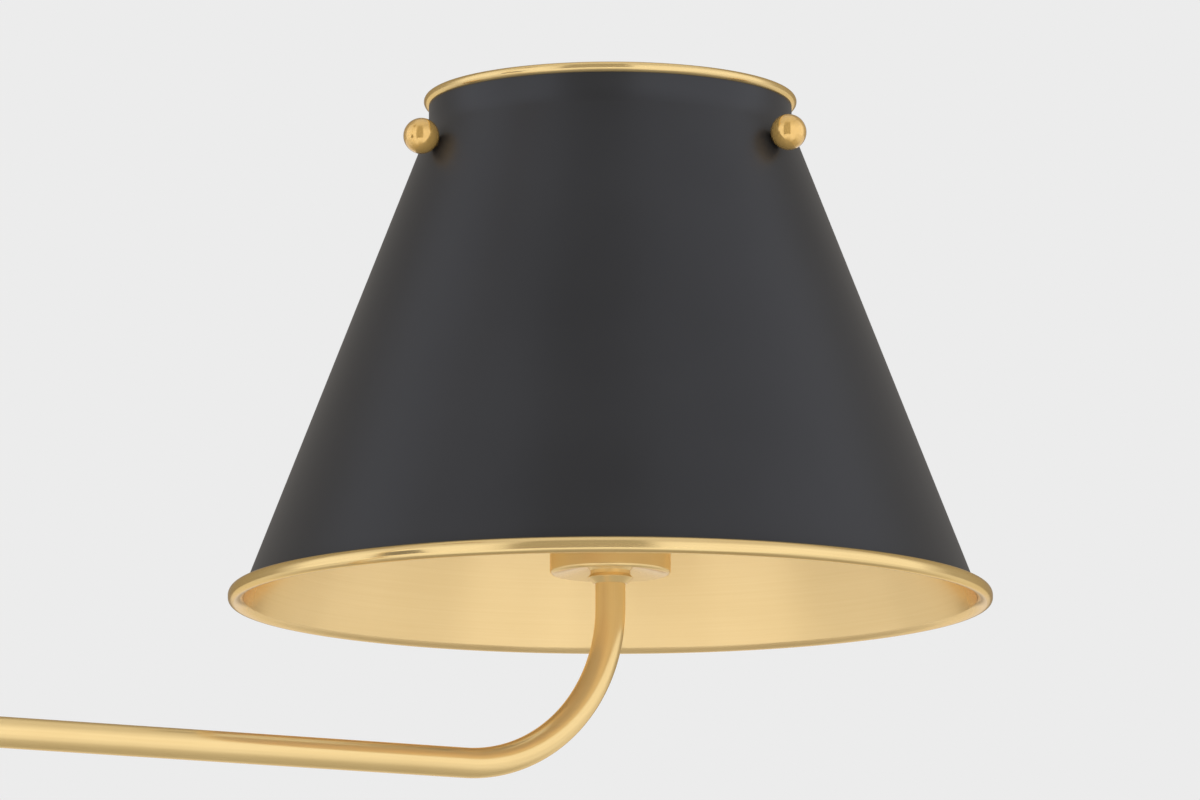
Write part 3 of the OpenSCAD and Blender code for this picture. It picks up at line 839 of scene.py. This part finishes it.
class CHANDELIER_OT_shades(bpy.types.Operator):
    """Spins the shades: a painted shell, a brass lining with its rolled bottom bead, and a top bead"""

    bl_idname = "chandelier.shades"
    bl_label = "Shades"

    def execute(self, context):
        s = settings().shade
        ring, neck = bead_rings()
        bead = s.bottom_bead / 2
        sheets = s.shell_sheet + s.lining_sheet
        outer = wall_line(0.0, 0.0)
        seam = wall_line(s.shell_sheet, s.shell_sheet)
        inner = wall_line(sheets, sheets + s.curl_lap)
        lean = cone_lean()
        wall = 180 + math.degrees(lean)
        flare_z = s.flare - bead
        flare_r = ring + flare_z * (1 - math.sin(lean)) / math.cos(lean)
        flare = arc(flare_r, flare_z, s.flare, wall, 270, steps=24)
        back = arc(flare_r, flare_z, s.flare - s.lining_sheet, 270, wall, steps=24)
        lip = ring + bead - flare_r
        shell = outer + seam[::-1]
        lining = inner[::-1] + flare[1:] + back + seam[1:]
        roll = arc(flare_r, lip - bead, lip, 270, 360) + arc(ring, 0.0, bead, 0, ROLL_TURN, steps=60)
        top = arc(neck, s.height, s.top_bead / 2, 0, 360, steps=48)[:-1]
        pieces = (
            ("painted_shell", shell, "shade_shell", "satin_black", "satin_black"),
            ("brushed_lining", lining, "shade_lining", "lining_brass", "lining_brass"),
            ("rolled_bead", roll, "shade_lining", "satin_brass", "lining_brass"),
            ("top_ring", top, "shade_top_bead", "satin_brass", "satin_brass"),
        )
        for side in SIDES:
            for name, section, part, material, slot in pieces:
                mesh = lathe(section, turns=360)
                set_on_side(side, name, mesh, rim_level(), part, material, slot=slot)
        return {"FINISHED"}


class CHANDELIER_OT_ball_screws(bpy.types.Operator):
    """Turns the ball screws that hold the shades on their spiders"""

    bl_idname = "chandelier.ball_screws"
    bl_label = "Ball screws"

    def execute(self, context):
        s = settings().shade
        rod, cut = screw_rod(boss_low() - s.gap, 0.0, plain=s.gap)
        rise, ball = ball_head()
        for side in SIDES:
            shade = on_side(side, rim_level(), s.shade_turn)
            for index, angle in enumerate(SCREW_ANGLES, start=1):
                name = f"{side}_ball_screw_{index}"
                mesh = lathe(rod + ball, closed=False, turns=96, cuts=[cut])
                place = shade @ screw_place(angle) @ moved(0, s.gap)
                set_piece(f"{name}_turned", mesh, place, name, "turned_brass", body=name)
        return {"FINISHED"}


class CHANDELIER_OT_arms(bpy.types.Operator):
    """Bends the arm tubes and turns the collar and the ferrule at their ends"""

    bl_idname = "chandelier.arms"
    bl_label = "Arms"

    def execute(self, context):
        t = settings().tube
        hub = settings().ceiling.hub / 2
        start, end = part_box("right_arm")
        turn_x = SHADE_AXIS - t.bend
        turn_z = ARM_LEVEL + t.bend
        level = run_up((start.x, 0, ARM_LEVEL), (turn_x, 0, ARM_LEVEL), steps=40)
        bend = [Vector((x, 0, z)) for x, z in arc(turn_x, turn_z, t.bend, -90, 0, steps=64)]
        rise = run_up((SHADE_AXIS, 0, end.z), (SHADE_AXIS, 0, turn_z), steps=6)[::-1]
        collar = collar_section(t.tube / 2, [(t.tube / 2, t.collar_height)])
        at_hub = moved(hub + t.collar_height, ARM_LEVEL) @ turned(-math.pi / 2, "Y")
        for side, half_turn in SIDES.items():
            round_stem = turned(half_turn, "Z")
            tube = drawn_tube(level + bend + rise)
            set_piece(f"{side}_bent_tube", tube, round_stem, f"{side}_arm", "drawn_brass")
            seat = SEAT_LEVEL - t.collar_height
            set_on_side(side, "turned_collar", lathe(collar), seat, "arm_collar", "spun_brass")
            place = round_stem @ at_hub
            set_piece(f"{side}_hub_ferrule", hub_ferrule(), place, f"{side}_arm_ferrule", "satin_brass")
        return {"FINISHED"}


class CHANDELIER_OT_cups(bpy.types.Operator):
    """Spins the socket cups and puts the nipple and nut in each"""

    bl_idname = "chandelier.cups"
    bl_label = "Socket cups"

    def execute(self, context):
        p = settings().lamp
        section = self.cup()
        for side in SIDES:
            cup = lathe(section, turns=240)
            set_on_side(side, "spun_cup", cup, SEAT_LEVEL, "socket_cup", "spun_brass")
            low, high = levels(f"{side}_cup_nipple")
            tall = high - low
            tube = [(p.nipple_bore / 2, tall), (p.nipple_bore / 2, 0.0)]
            tube += stepped(p.nipple / 2, 0.0, tall, NIPPLE_THREAD)
            cut = thread(p.nipple / 2, 0.0, tall, NIPPLE_THREAD)
            nipple = lathe(tube, turns=64, cuts=[cut])
            set_on_side(side, "threaded_nipple", nipple, low, "cup_nipple", "plated_steel")
            low, high = levels(f"{side}_cup_nut")
            set_on_side(side, "hex_nut", nut(high - low), low, "cup_nut", "plated_steel")
        return {"FINISHED"}

    def cup(self):
        """A cup with a dished floor, which seats on the collar at 0."""
        t = settings().tube
        r = t.cup / 2
        e = t.cup_edge
        hole = settings().lamp.nipple / 2 + settings().shade.gap
        low = -t.cup_dish
        side_low = low + 2 * e
        rim = low + t.cup_height
        outside = arc(r - e, low + e, e, 0, -CUP_TURN, steps=14)
        inside = arc(r - e, low + e, e - t.cup_sheet, -90, 0, steps=8)
        return (
            eased([(r, side_low), (r, rim), (r - t.cup_sheet, rim)], RIM_EDGE, closed=False)[1:]
            + [(r - t.cup_sheet, side_low)]
            + inside[::-1]
            + [(t.collar / 2, t.cup_sheet), (hole, t.cup_sheet), (hole, 0.0), (t.collar / 2, 0.0)]
            + outside[::-1]
            + [(r, side_low)]
        )


class CHANDELIER_OT_sockets(bpy.types.Operator):
    """Moulds the sockets, and sets a fluted ring nut and a spider with three legs on each"""

    bl_idname = "chandelier.sockets"
    bl_label = "Sockets and spiders"

    def execute(self, context):
        for side in SIDES:
            self.body(side)
            self.screw_shell(side)
            self.ring_nut(side)
            self.spider(side)
            finish_node(f"{side}_socket_contact", "milled_brass")
        return {"FINISHED"}

    def body(self, side):
        """A moulded body with a shoulder, a thread outside and a hollow for the lamp."""
        p = settings().lamp
        low, high = levels(f"{side}_socket_body")
        tall = high - low
        seat = levels(f"{side}_spider")[0] - low
        floor = levels(f"{side}_socket_contact")[0] - low
        r = p.socket_thread / 2
        outside = [
            (0.0, 0.0),
            (p.socket / 2, 0.0),
            (p.socket / 2, seat - SHOULDER_HEIGHT),
            (p.shoulder / 2, seat - SHOULDER_HEIGHT),
            (p.shoulder / 2, seat),
            (r, seat),
        ]
        hollow = [(p.socket_bore / 2, tall), (p.socket_bore / 2, floor), (0.0, floor)]
        threaded = stepped(r, seat, tall, SOCKET_THREAD, rows=10)
        section = eased(outside, SOCKET_EDGE, closed=False) + threaded + hollow
        cut = thread(r, seat + SOCKET_PLAIN, tall, SOCKET_THREAD)
        mesh = lathe(section, closed=False, turns=144, cuts=[cut])
        set_on_side(side, "lamp_socket", mesh, low, "socket_body", "phenolic")

    def screw_shell(self, side):
        """The brass shell that lines the socket's hollow."""
        low, high = levels(f"{side}_socket_shell")
        outer = settings().lamp.socket_bore / 2 - SHELL_FIT
        inner = outer - SHELL_SHEET
        wall = [(outer, 0.0), (outer, high - low), (inner, high - low), (inner, 0.0)]
        mesh = lathe(wall, turns=96)
        set_on_side(side, "screw_shell", mesh, low, "socket_shell", "socket_brass")

    def ring_nut(self, side):
        """A fluted ring nut round the socket, on the spider's ring."""
        inner = settings().lamp.socket_thread / 2
        low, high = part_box(f"{side}_socket_ring_nut")
        outer = (high.y - low.y) / 2
        section = ring_section(inner, outer, high.z - low.z, SOCKET_EDGE)
        mesh = lathe(section, turns=480, cuts=[fluted(outer, FLUTE_DEPTH, FLUTES)])
        set_on_side(side, "fluted_ring", mesh, low.z, "socket_ring_nut", "socket_brass")

    def spider(self, side):
        """A flat ring, three legs and a tapped boss at the head of each leg."""
        s = settings().shade
        p = settings().lamp
        floor = levels(f"{side}_spider")[0] - rim_level()
        bore = p.socket_thread / 2 + s.gap
        rim = bore + p.ring_width
        flat = ring_section(bore, rim, p.ring_thickness, SPIDER_EDGE)
        boss = ring_section(s.screw / 2 + TAPPED_FIT, s.boss / 2, s.boss_length, BOSS_EDGE)
        foot = Vector((rim - p.leg / 2 - s.gap, 0, floor + p.ring_thickness / 2))
        head = screw_place(0.0) @ Vector((0, 0, boss_low() + s.boss_length / 2))
        head = head.lerp(foot, (s.screw / 2 + 2 * s.gap) / (head - foot).length)
        parts = [(lathe(flat, turns=192), moved(0, floor))]
        for angle in SCREW_ANGLES:
            parts.append((lathe(boss, turns=64), screw_place(angle) @ moved(0, boss_low())))
            parts.append((self.leg(foot, head), turned(angle, "Z")))
        place = on_side(side, rim_level(), s.shade_turn)
        set_piece(f"{side}_spider_welded", joined(parts), place, f"{side}_spider", "plated_steel")

    def leg(self, foot, head, steps=8):
        """A round leg that widens into a small weld at its foot."""
        radius = settings().lamp.leg / 2
        along = head - foot
        tall = along.length
        section = [(0.0, 0.0), (radius, 0.0)]
        for i in range(steps + 1):
            share = i / steps
            section.append((radius + WELD_OUT * (1 - share) ** 2, WELD_OUT + WELD_LENGTH * share))
        section += [(radius, tall / 2), (radius, tall), (0.0, tall)]
        mesh = lathe(section, closed=False, turns=48)
        mesh.transform(Matrix.Translation(foot) @ along.to_track_quat("Z", "X").to_matrix().to_4x4())
        return mesh


class CHANDELIER_OT_bulbs(bpy.types.Operator):
    """Blows the frosted bulbs and rolls their screw caps"""

    bl_idname = "chandelier.bulbs"
    bl_label = "Bulbs"

    # The bottom of a cap: its contact as (radius, height) points, and its insulator as (inset, height)
    CONTACT = [(0.0, 0.0), (0.002, 0.0001), (0.0035, 0.0006), (0.0048, 0.0022), (0.0052, 0.0026)]
    INSULATOR = [(0.0026, 0.005), (0.0012, 0.0062)]
    # The heights at which the cap's side and its thread start, and what is left bare above them
    SIDE = (0.0075, 0.001)
    THREAD = (0.007, 0.004)

    def execute(self, context):
        p = settings().lamp
        r = p.bulb / 2
        glass = self.envelope(r) + self.envelope(r - p.glass)[::-1]
        for side in SIDES:
            bulb = f"{side}_bulb"
            low, high = levels(f"{bulb}_base")
            cap = self.cap(high - low)
            set_on_side(side, "frosted_bulb", lathe(glass), high, "bulb_glass", "bulb_glass", body=bulb)
            set_on_side(side, "screw_cap", cap, low, "bulb_base", "bulb_cap", body=bulb)
        return {"FINISHED"}

    def envelope(self, radius):
        """A straight neck that runs into a ball, from the cap to the crown."""
        p = settings().lamp
        neck = p.bulb_cap / 2 - p.glass / 2
        lean = math.asin(p.bulb / 2 / math.hypot(p.bulb_rise, neck)) - math.atan(neck / p.bulb_rise)
        foot = (radius / math.cos(lean) - p.bulb_rise * math.tan(lean), 0.0)
        ball = arc(0, p.bulb_rise, radius, -math.degrees(lean), 90, steps=72)
        return [tuple(point) for point in run_up(foot, ball[0], steps=10)] + ball

    def cap(self, tall):
        """A rolled screw cap on a tapered insulator with the contact under it."""
        r = settings().lamp.bulb_cap / 2
        side_low, side_bare = self.SIDE
        low, bare = self.THREAD
        taper = [(r - inset, z) for inset, z in self.INSULATOR]
        side = stepped(r, side_low, tall - side_bare, CAP_THREAD, rows=14)
        top = [(r, tall - CAP_LIP), (r - CAP_LIP, tall), (0.0, tall)]
        cut = thread(r, low, tall - bare, CAP_THREAD)
        return lathe(self.CONTACT + taper + side + top, closed=False, turns=128, cuts=[cut])


class CHANDELIER_OT_stem(bpy.types.Operator):
    """Draws the two stem tubes and turns their coupling and the ferrule at the hub"""

    bl_idname = "chandelier.stem"
    bl_label = "Stem"

    def execute(self, context):
        t = settings().tube
        c = settings().ceiling
        for name in ("stem_upper", "stem_lower"):
            low, high = levels(name)
            path = run_up((0, 0, low), (0, 0, high), steps=24) + [Vector((0, 0, high))]
            set_piece(f"{name}_tube", drawn_tube(path), Matrix(), name, "drawn_brass")
        half = [
            (t.tube / 2, 0.0),
            (t.tail / 2, 0.0),
            (t.collar / 2, t.ring_rise),
            (t.groove / 2, t.groove_rise),
        ]
        other_half = [(r, c.coupling - z) for r, z in reversed(half)]
        coupling = lathe(eased(half + other_half, COLLAR_EDGE))
        place = moved(0, levels("stem_coupling")[0])
        set_piece("turned_coupling", coupling, place, "stem_coupling", "satin_brass")
        top = ARM_LEVEL + c.hub / 2 + t.collar_height
        place = moved(0, top) @ turned(math.pi, "X")
        set_piece("stem_hub_ferrule", hub_ferrule(), place, "stem_ferrule", "satin_brass")
        return {"FINISHED"}


class CHANDELIER_OT_hub(bpy.types.Operator):
    """Turns the hub ball and the finial under it"""

    bl_idname = "chandelier.hub"
    bl_label = "Hub"

    # Share of the collar's thin end at which the finial's drop runs into it
    DROP_NECK = 0.8

    def execute(self, context):
        t = settings().tube
        s = settings().shade
        hub = settings().ceiling.hub / 2
        ball = lathe(arc(0, 0, hub, -90, 90, steps=96), closed=False, turns=192)
        set_piece("hub_ball_turned", ball, moved(0, ARM_LEVEL), "hub_ball", "satin_brass")
        sink = math.degrees(math.asin(t.tail / s.ball * self.DROP_NECK))
        drop = arc(0, -s.ball / 4, s.ball / 2, -90, 90 - sink, steps=48)
        collar = collar_section(drop[-1][0], hub_end(0.0))
        finial = lathe(drop + collar[1:], closed=False)
        place = moved(0, ARM_LEVEL - hub - t.collar_height)
        set_piece("hub_finial_turned", finial, place, "hub_finial", "satin_brass")
        return {"FINISHED"}


class CHANDELIER_OT_swivel(bpy.types.Operator):
    """Finishes the swivel's yoke, pins and knuckle, and turns its nipple and lock nut"""

    bl_idname = "chandelier.swivel"
    bl_label = "Swivel"

    def execute(self, context):
        finish_node("swivel_yoke", "milled_brass")
        finish_node("swivel_knuckle", "milled_brass")
        finish_node("swivel_pins", "plated_steel")
        low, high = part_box("swivel_nipple")
        nipple = self.nipple((high.x - low.x) / 2, high.z - low.z)
        place = moved(0, low.z)
        set_piece("swivel_nipple_threaded", nipple, place, "swivel_nipple", "plated_steel", CEILING)
        low, high = levels("swivel_locknut")
        place = moved(0, low)
        set_piece("swivel_hex_nut", nut(high - low), place, "swivel_locknut", "plated_steel", CEILING)
        return {"FINISHED"}

    def nipple(self, flange, tall):
        """A hollow nipple with a flange under it and a thread at its upper end."""
        p = settings().lamp
        r = p.nipple / 2
        bore = p.nipple_bore / 2
        foot = [(bore, tall), (bore, 0.0), (flange, 0.0), (flange, FLANGE_HEIGHT), (r, FLANGE_HEIGHT)]
        side = stepped(r, FLANGE_HEIGHT + 2 * RIM_EDGE, tall, NIPPLE_THREAD)
        cut = thread(r, SWIVEL_PLAIN, tall, NIPPLE_THREAD)
        return lathe(eased(foot, RIM_EDGE, closed=False) + side, turns=64, cuts=[cut])


class CHANDELIER_OT_canopy(bpy.types.Operator):
    """Spins the canopy and dresses its ball nuts, studs, crossbar and ground screw"""

    bl_idname = "chandelier.canopy"
    bl_label = "Canopy"

    # Distance from the rounded edge of the points that keep the flats beside it flat
    HOLD = 0.002

    def execute(self, context):
        s = settings().shade
        canopy = lathe(self.canopy(), turns=300)
        set_piece("spun_canopy", canopy, Matrix(), "canopy", "satin_brass", CEILING)
        bore = s.screw / 2 + TAPPED_FIT
        rise, ball = ball_head()
        head = [(bore, rise), (bore, 0.0)] + ball + [(0.0, rise)]
        for side in SIDES:
            name = f"{side}_canopy_nut"
            seat = moved(middle(name).x, levels(name)[1]) @ turned(math.pi, "X")
            set_piece(f"{name}_turned", lathe(head, turns=96), seat, name, "satin_brass", body=name)
        low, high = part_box("canopy_studs")
        rod, cut = screw_rod(0.0, high.z - low.z)
        rod.append((0.0, high.z - low.z))
        parts = []
        for x in (low.x + s.screw / 2, high.x - s.screw / 2):
            parts.append((lathe(rod, closed=False, turns=48, cuts=[cut]), moved(x, low.z)))
        studs = joined(parts)
        set_piece("canopy_studs_threaded", studs, Matrix(), "canopy_studs", "plated_steel", CEILING)
        finish_node("crossbar", "plated_steel")
        finish_node("ground_screw", "green_screw")
        return {"FINISHED"}

    def canopy(self):
        """A shallow round cover, open at the ceiling, with a hole for the swivel's nipple."""
        c = settings().ceiling
        r = c.canopy / 2
        inner = r - c.canopy_sheet
        e = c.canopy_edge
        hole = settings().lamp.nipple / 2 + settings().shade.gap
        floor = -c.canopy_height
        bend = floor + e
        rim = [(inner, bend + self.HOLD), (inner, 0.0), (r, 0.0), (r, bend)]
        return (
            eased(rim, RIM_EDGE, closed=False)[:-1]
            + arc(r - e, bend, e, 0, -90, steps=28)
            + [(r - e - self.HOLD, floor), (hole, floor), (hole, floor + c.canopy_sheet)]
            + arc(r - e, bend, e - c.canopy_sheet, -90, 0, steps=28)
        )


class CHANDELIER_OT_wires(bpy.types.Operator):
    """Finishes the wires inside the tubes and the splice in the hub"""

    bl_idname = "chandelier.wires"
    bl_label = "Wires"

    def execute(self, context):
        for name in ("stem_wires", "right_arm_wires", "left_arm_wires"):
            finish_node(name, "wire_jacket")
        finish_node("hub_splice", "splice_cap")
        return {"FINISHED"}


class CHANDELIER_OT_studio(bpy.types.Operator):
    """Sets up the camera, the pale floor, the backdrop and the soft studio light"""

    bl_idname = "chandelier.studio"
    bl_label = "Studio"

    # The studio's brightness by direction, as (degrees, share) pairs. SOFTBOXES, FLOOR and FLOOR_EDGE
    # count the degrees to the right of the camera's side, the others those above the horizon.
    # Two wide softboxes, dark between them where the camera stands and behind the object
    SOFTBOXES = (
        (-180, 0.1), (-122, 0.12), (-112, 0.5), (-103, 1.0), (-40, 1.0), (-33, 0.8), (-28, 0.0),
        (10, 0.0), (16, 0.96), (104, 1.0), (113, 0.5), (124, 0.12), (180, 0.1),
    )
    SOFTBOX_HEIGHT = (
        (-90, 1.0), (22, 1.0), (34, 0.8), (46, 0.6), (60, 0.4), (90, 0.3),
    )
    # A dimmer panel overhead
    OVERHEAD = (
        (-90, 0.0), (50, 0.0), (64, 0.5), (90, 0.55),
    )
    # The pale floor, from FLOOR_START below the horizon down, with a soft edge
    FLOOR_START = 30
    FLOOR_BLUR = 2
    FLOOR = (
        (-180, 0.95), (-120, 0.68), (-84, 0.68), (-56, 0.92), (-20, 1.0), (44, 1.0), (64, 0.76),
        (90, 0.78), (120, 0.66), (150, 0.7), (180, 0.95),
    )
    FLOOR_HEIGHT = (
        (-90, 0.05), (-80, 0.08), (-68, 0.22), (-57, 0.6), (-48, 0.95), (90, 1.0),
    )
    # Share of FLOOR_START by which the floor's edge, and FLOOR_HEIGHT with it, is raised
    FLOOR_EDGE = (
        (-180, 0.8), (-122, 0.8), (-106, 0.55), (-84, 0.55), (-58, 0.0), (-40, 0.0), (-24, 0.25),
        (12, 0.25), (26, 0.0), (42, 0.0), (62, 0.5), (106, 0.55), (122, 0.8), (180, 0.8),
    )
    # Half the side of the floor that the camera sees, in metres
    FLOOR_HALF = 60.0

    # Lamps as a name, the place in metres to the right of, behind and above what they face, the power in
    # watts and the spread in degrees
    LAMPS = (
        ("softbox_left", (-2.2, -1.6, 1.1), 6.0, 180),
        ("softbox_right", (2.0, -1.9, 1.1), 6.0, 180),
        ("fill_light", (0.3, -2.4, -0.5), 4.0, 40),
    )
    LAMP_SIZE = (1.4, 2.0)
    # Height above the rim that the lamps face
    LAMP_AIM = 0.1

    def execute(self, context):
        scene = context.scene
        self.camera(scene)
        self.floor(scene)
        self.backdrop(scene)
        for lamp in self.LAMPS:
            self.lamp(scene, *lamp)
        scene.view_settings.view_transform = "Standard"
        return {"FINISHED"}

    def camera(self, scene):
        """A long lens below the rim, looking up at the right-hand shade."""
        v = settings().studio
        data = bpy.data.cameras.new("studio_camera")
        data.lens = v.lens
        data.clip_start = 0.1
        data.clip_end = 200.0
        camera = bpy.data.objects.new("studio_camera", data)
        scene.collection.objects.link(camera)
        back = Vector((math.sin(v.azimuth), -math.cos(v.azimuth), 0.0))
        camera.location = Vector((SHADE_AXIS, 0, rim_level() - v.drop)) + back * v.distance
        camera.rotation_euler = (math.pi / 2 + v.tilt, 0.0, v.azimuth + v.aim)
        scene.camera = camera

    def lamp(self, scene, name, place, power, spread):
        """A large soft light that faces the right-hand shade and isn't mirrored in it."""
        data = bpy.data.lights.new(name, "AREA")
        data.shape = "RECTANGLE"
        data.size, data.size_y = self.LAMP_SIZE
        data.energy = power
        data.spread = math.radians(spread)
        lamp = bpy.data.objects.new(name, data)
        scene.collection.objects.link(lamp)
        aim = Vector((SHADE_AXIS, 0, rim_level() + self.LAMP_AIM))
        lamp.location = aim + Matrix.Rotation(settings().studio.azimuth, 3, "Z") @ Vector(place)
        lamp.rotation_euler = (aim - lamp.location).to_track_quat("-Z", "Y").to_euler()
        lamp.visible_camera = False
        lamp.visible_glossy = False

    def floor(self, scene):
        """A pale floor for the camera, clear from below. Elsewhere the backdrop's light stands for it."""
        v = settings().studio
        half = self.FLOOR_HALF
        mesh = bpy.data.meshes.new("pale_floor")
        corners = [(-half, -half, 0), (half, -half, 0), (half, half, 0), (-half, half, 0)]
        mesh.from_pydata(corners, [], [(0, 1, 2, 3)])
        floor = bpy.data.objects.new("pale_floor", mesh)
        scene.collection.objects.link(floor)
        floor.location = (0, 0, ARM_LEVEL - v.floor_drop)
        material = bpy.data.materials.new("pale_floor")
        material.use_nodes = True
        tree = material.node_tree
        tree.nodes.clear()
        lit = node(tree, "ShaderNodeBsdfDiffuse", {"Color": self.grey(v.floor_grey)})
        glow = node(tree, "ShaderNodeEmission", {"Color": self.grey(v.pale), "Strength": 1.0})
        seen = node(tree, "ShaderNodeLightPath").outputs["Is Camera Ray"]
        pale = self.blended(tree, maths(tree, "MULTIPLY", seen, v.floor_glow), lit, glow)
        under = node(tree, "ShaderNodeNewGeometry").outputs["Backfacing"]
        whole = self.blended(tree, under, pale, node(tree, "ShaderNodeBsdfTransparent"))
        node(tree, "ShaderNodeOutputMaterial", {"Surface": whole.outputs[0]})
        mesh.materials.append(material)
        floor.visible_diffuse = False
        floor.visible_glossy = False
        floor.visible_shadow = False

    def grey(self, level):
        """A grey of a brightness."""
        return (level, level, level, 1)

    def blended(self, tree, share, first, second):
        """Mixes two shaders."""
        return node(tree, "ShaderNodeMixShader", {0: share, 1: first.outputs[0], 2: second.outputs[0]})

    def curve(self, tree, angle, pairs):
        """Reads a share from (degrees, share) pairs by an angle."""
        low, high = pairs[0][0], pairs[-1][0]
        place = spread(tree, angle, 0.0, 1.0, math.radians(low), math.radians(high))
        made = node(tree, "ShaderNodeValToRGB", {"Fac": place})
        ramp = made.color_ramp
        ramp.interpolation = "EASE"
        for degrees, share in pairs[1:-1]:
            ramp.elements.new((degrees - low) / (high - low)).color = self.grey(share)
        for end in (0, -1):
            ramp.elements[end].color = self.grey(pairs[end][1])
        return made.outputs["Color"]

    def backdrop(self, scene):
        """A pale backdrop for the camera, and the studio's light and dim rest for everything else."""
        v = settings().studio
        world = bpy.data.worlds.new("studio")
        scene.world = world
        world.use_nodes = True
        tree = world.node_tree
        tree.nodes.clear()
        way = node(tree, "ShaderNodeTexCoord").outputs["Generated"]
        inputs = {"Vector": way, "Angle": -v.azimuth}
        facing = node(tree, "ShaderNodeVectorRotate", inputs, rotation_type="Z_AXIS").outputs["Vector"]
        axes = node(tree, "ShaderNodeSeparateXYZ", {"Vector": facing}).outputs
        across = maths(tree, "ARCTAN2", axes["X"], maths(tree, "MULTIPLY", axes["Y"], -1.0))
        height = maths(tree, "ARCSINE", axes["Z"])
        tone = mixed(tree, self.brightness(tree, across, height), v.dim, v.bright)
        light = node(tree, "ShaderNodeBackground", {"Color": tone, "Strength": v.light})
        pale = node(tree, "ShaderNodeBackground", {"Color": self.grey(v.pale), "Strength": 1.0})
        rays = node(tree, "ShaderNodeLightPath").outputs
        seen = maths(tree, "MAXIMUM", rays["Is Camera Ray"], rays["Is Transmission Ray"])
        seen = maths(tree, "MAXIMUM", seen, maths(tree, "MULTIPLY", rays["Is Glossy Ray"], v.mirrored))
        whole = self.blended(tree, seen, light, pale)
        node(tree, "ShaderNodeOutputWorld", {"Surface": whole.outputs[0]})

    def brightness(self, tree, across, height):
        """Brightness by direction: the softboxes and the panel overhead, and the floor below."""
        boxes = self.curve(tree, across, self.SOFTBOXES)
        boxes = maths(tree, "MULTIPLY", boxes, self.curve(tree, height, self.SOFTBOX_HEIGHT))
        boxes = maths(tree, "MAXIMUM", boxes, self.curve(tree, height, self.OVERHEAD))
        raised = self.curve(tree, across, self.FLOOR_EDGE)
        raised = maths(tree, "MULTIPLY", raised, math.radians(self.FLOOR_START))
        depth = maths(tree, "SUBTRACT", height, raised)
        floor = self.curve(tree, across, self.FLOOR)
        floor = maths(tree, "MULTIPLY", floor, self.curve(tree, depth, self.FLOOR_HEIGHT))
        start = math.radians(self.FLOOR_BLUR - self.FLOOR_START)
        end = math.radians(-self.FLOOR_BLUR - self.FLOOR_START)
        below = spread(tree, depth, 0.0, 1.0, start, end)
        return node(tree, "ShaderNodeMix", {0: below, 2: boxes, 3: floor}, data_type="FLOAT").outputs[0]


OPERATORS = (
    CHANDELIER_OT_shades,
    CHANDELIER_OT_ball_screws,
    CHANDELIER_OT_arms,
    CHANDELIER_OT_cups,
    CHANDELIER_OT_sockets,
    CHANDELIER_OT_bulbs,
    CHANDELIER_OT_stem,
    CHANDELIER_OT_hub,
    CHANDELIER_OT_swivel,
    CHANDELIER_OT_canopy,
    CHANDELIER_OT_wires,
    CHANDELIER_OT_studio,
)


class CHANDELIER_PT_panel(bpy.types.Panel):
    """The chandelier's tools and settings"""

    bl_idname = "CHANDELIER_PT_panel"
    bl_label = "Chandelier"
    bl_space_type = "VIEW_3D"
    bl_region_type = "UI"
    bl_category = "Chandelier"

    def draw(self, context):
        for operator in OPERATORS:
            self.layout.operator(operator.bl_idname)
        for group in ChandelierSettings.__annotations__:
            box = self.layout.box()
            box.label(text=group.capitalize())
            chosen = getattr(context.scene.chandelier, group)
            for name in chosen.__annotations__:
                box.prop(chosen, name)


GROUPS = (
    ShadeSizes,
    TubeSizes,
    LampSizes,
    CeilingSizes,
    FinishColours,
    StudioSettings,
    ChandelierSettings,
)
CLASSES = GROUPS + OPERATORS + (CHANDELIER_PT_panel,)


def register():
    """Adds the classes and the scene's settings."""
    for cls in CLASSES:
        bpy.utils.register_class(cls)
    bpy.types.Scene.chandelier = PointerProperty(type=ChandelierSettings)


def unregister():
    """Takes the settings and the classes away again."""
    del bpy.types.Scene.chandelier
    for cls in reversed(CLASSES):
        bpy.utils.unregister_class(cls)


def main():
    """Builds every piece and the studio."""
    register()
    bpy.ops.chandelier.shades()
    bpy.ops.chandelier.ball_screws()
    bpy.ops.chandelier.arms()
    bpy.ops.chandelier.cups()
    bpy.ops.chandelier.sockets()
    bpy.ops.chandelier.bulbs()
    bpy.ops.chandelier.stem()
    bpy.ops.chandelier.hub()
    bpy.ops.chandelier.swivel()
    bpy.ops.chandelier.canopy()
    bpy.ops.chandelier.wires()
    bpy.ops.chandelier.studio()


if __name__ == "__main__":
    main()
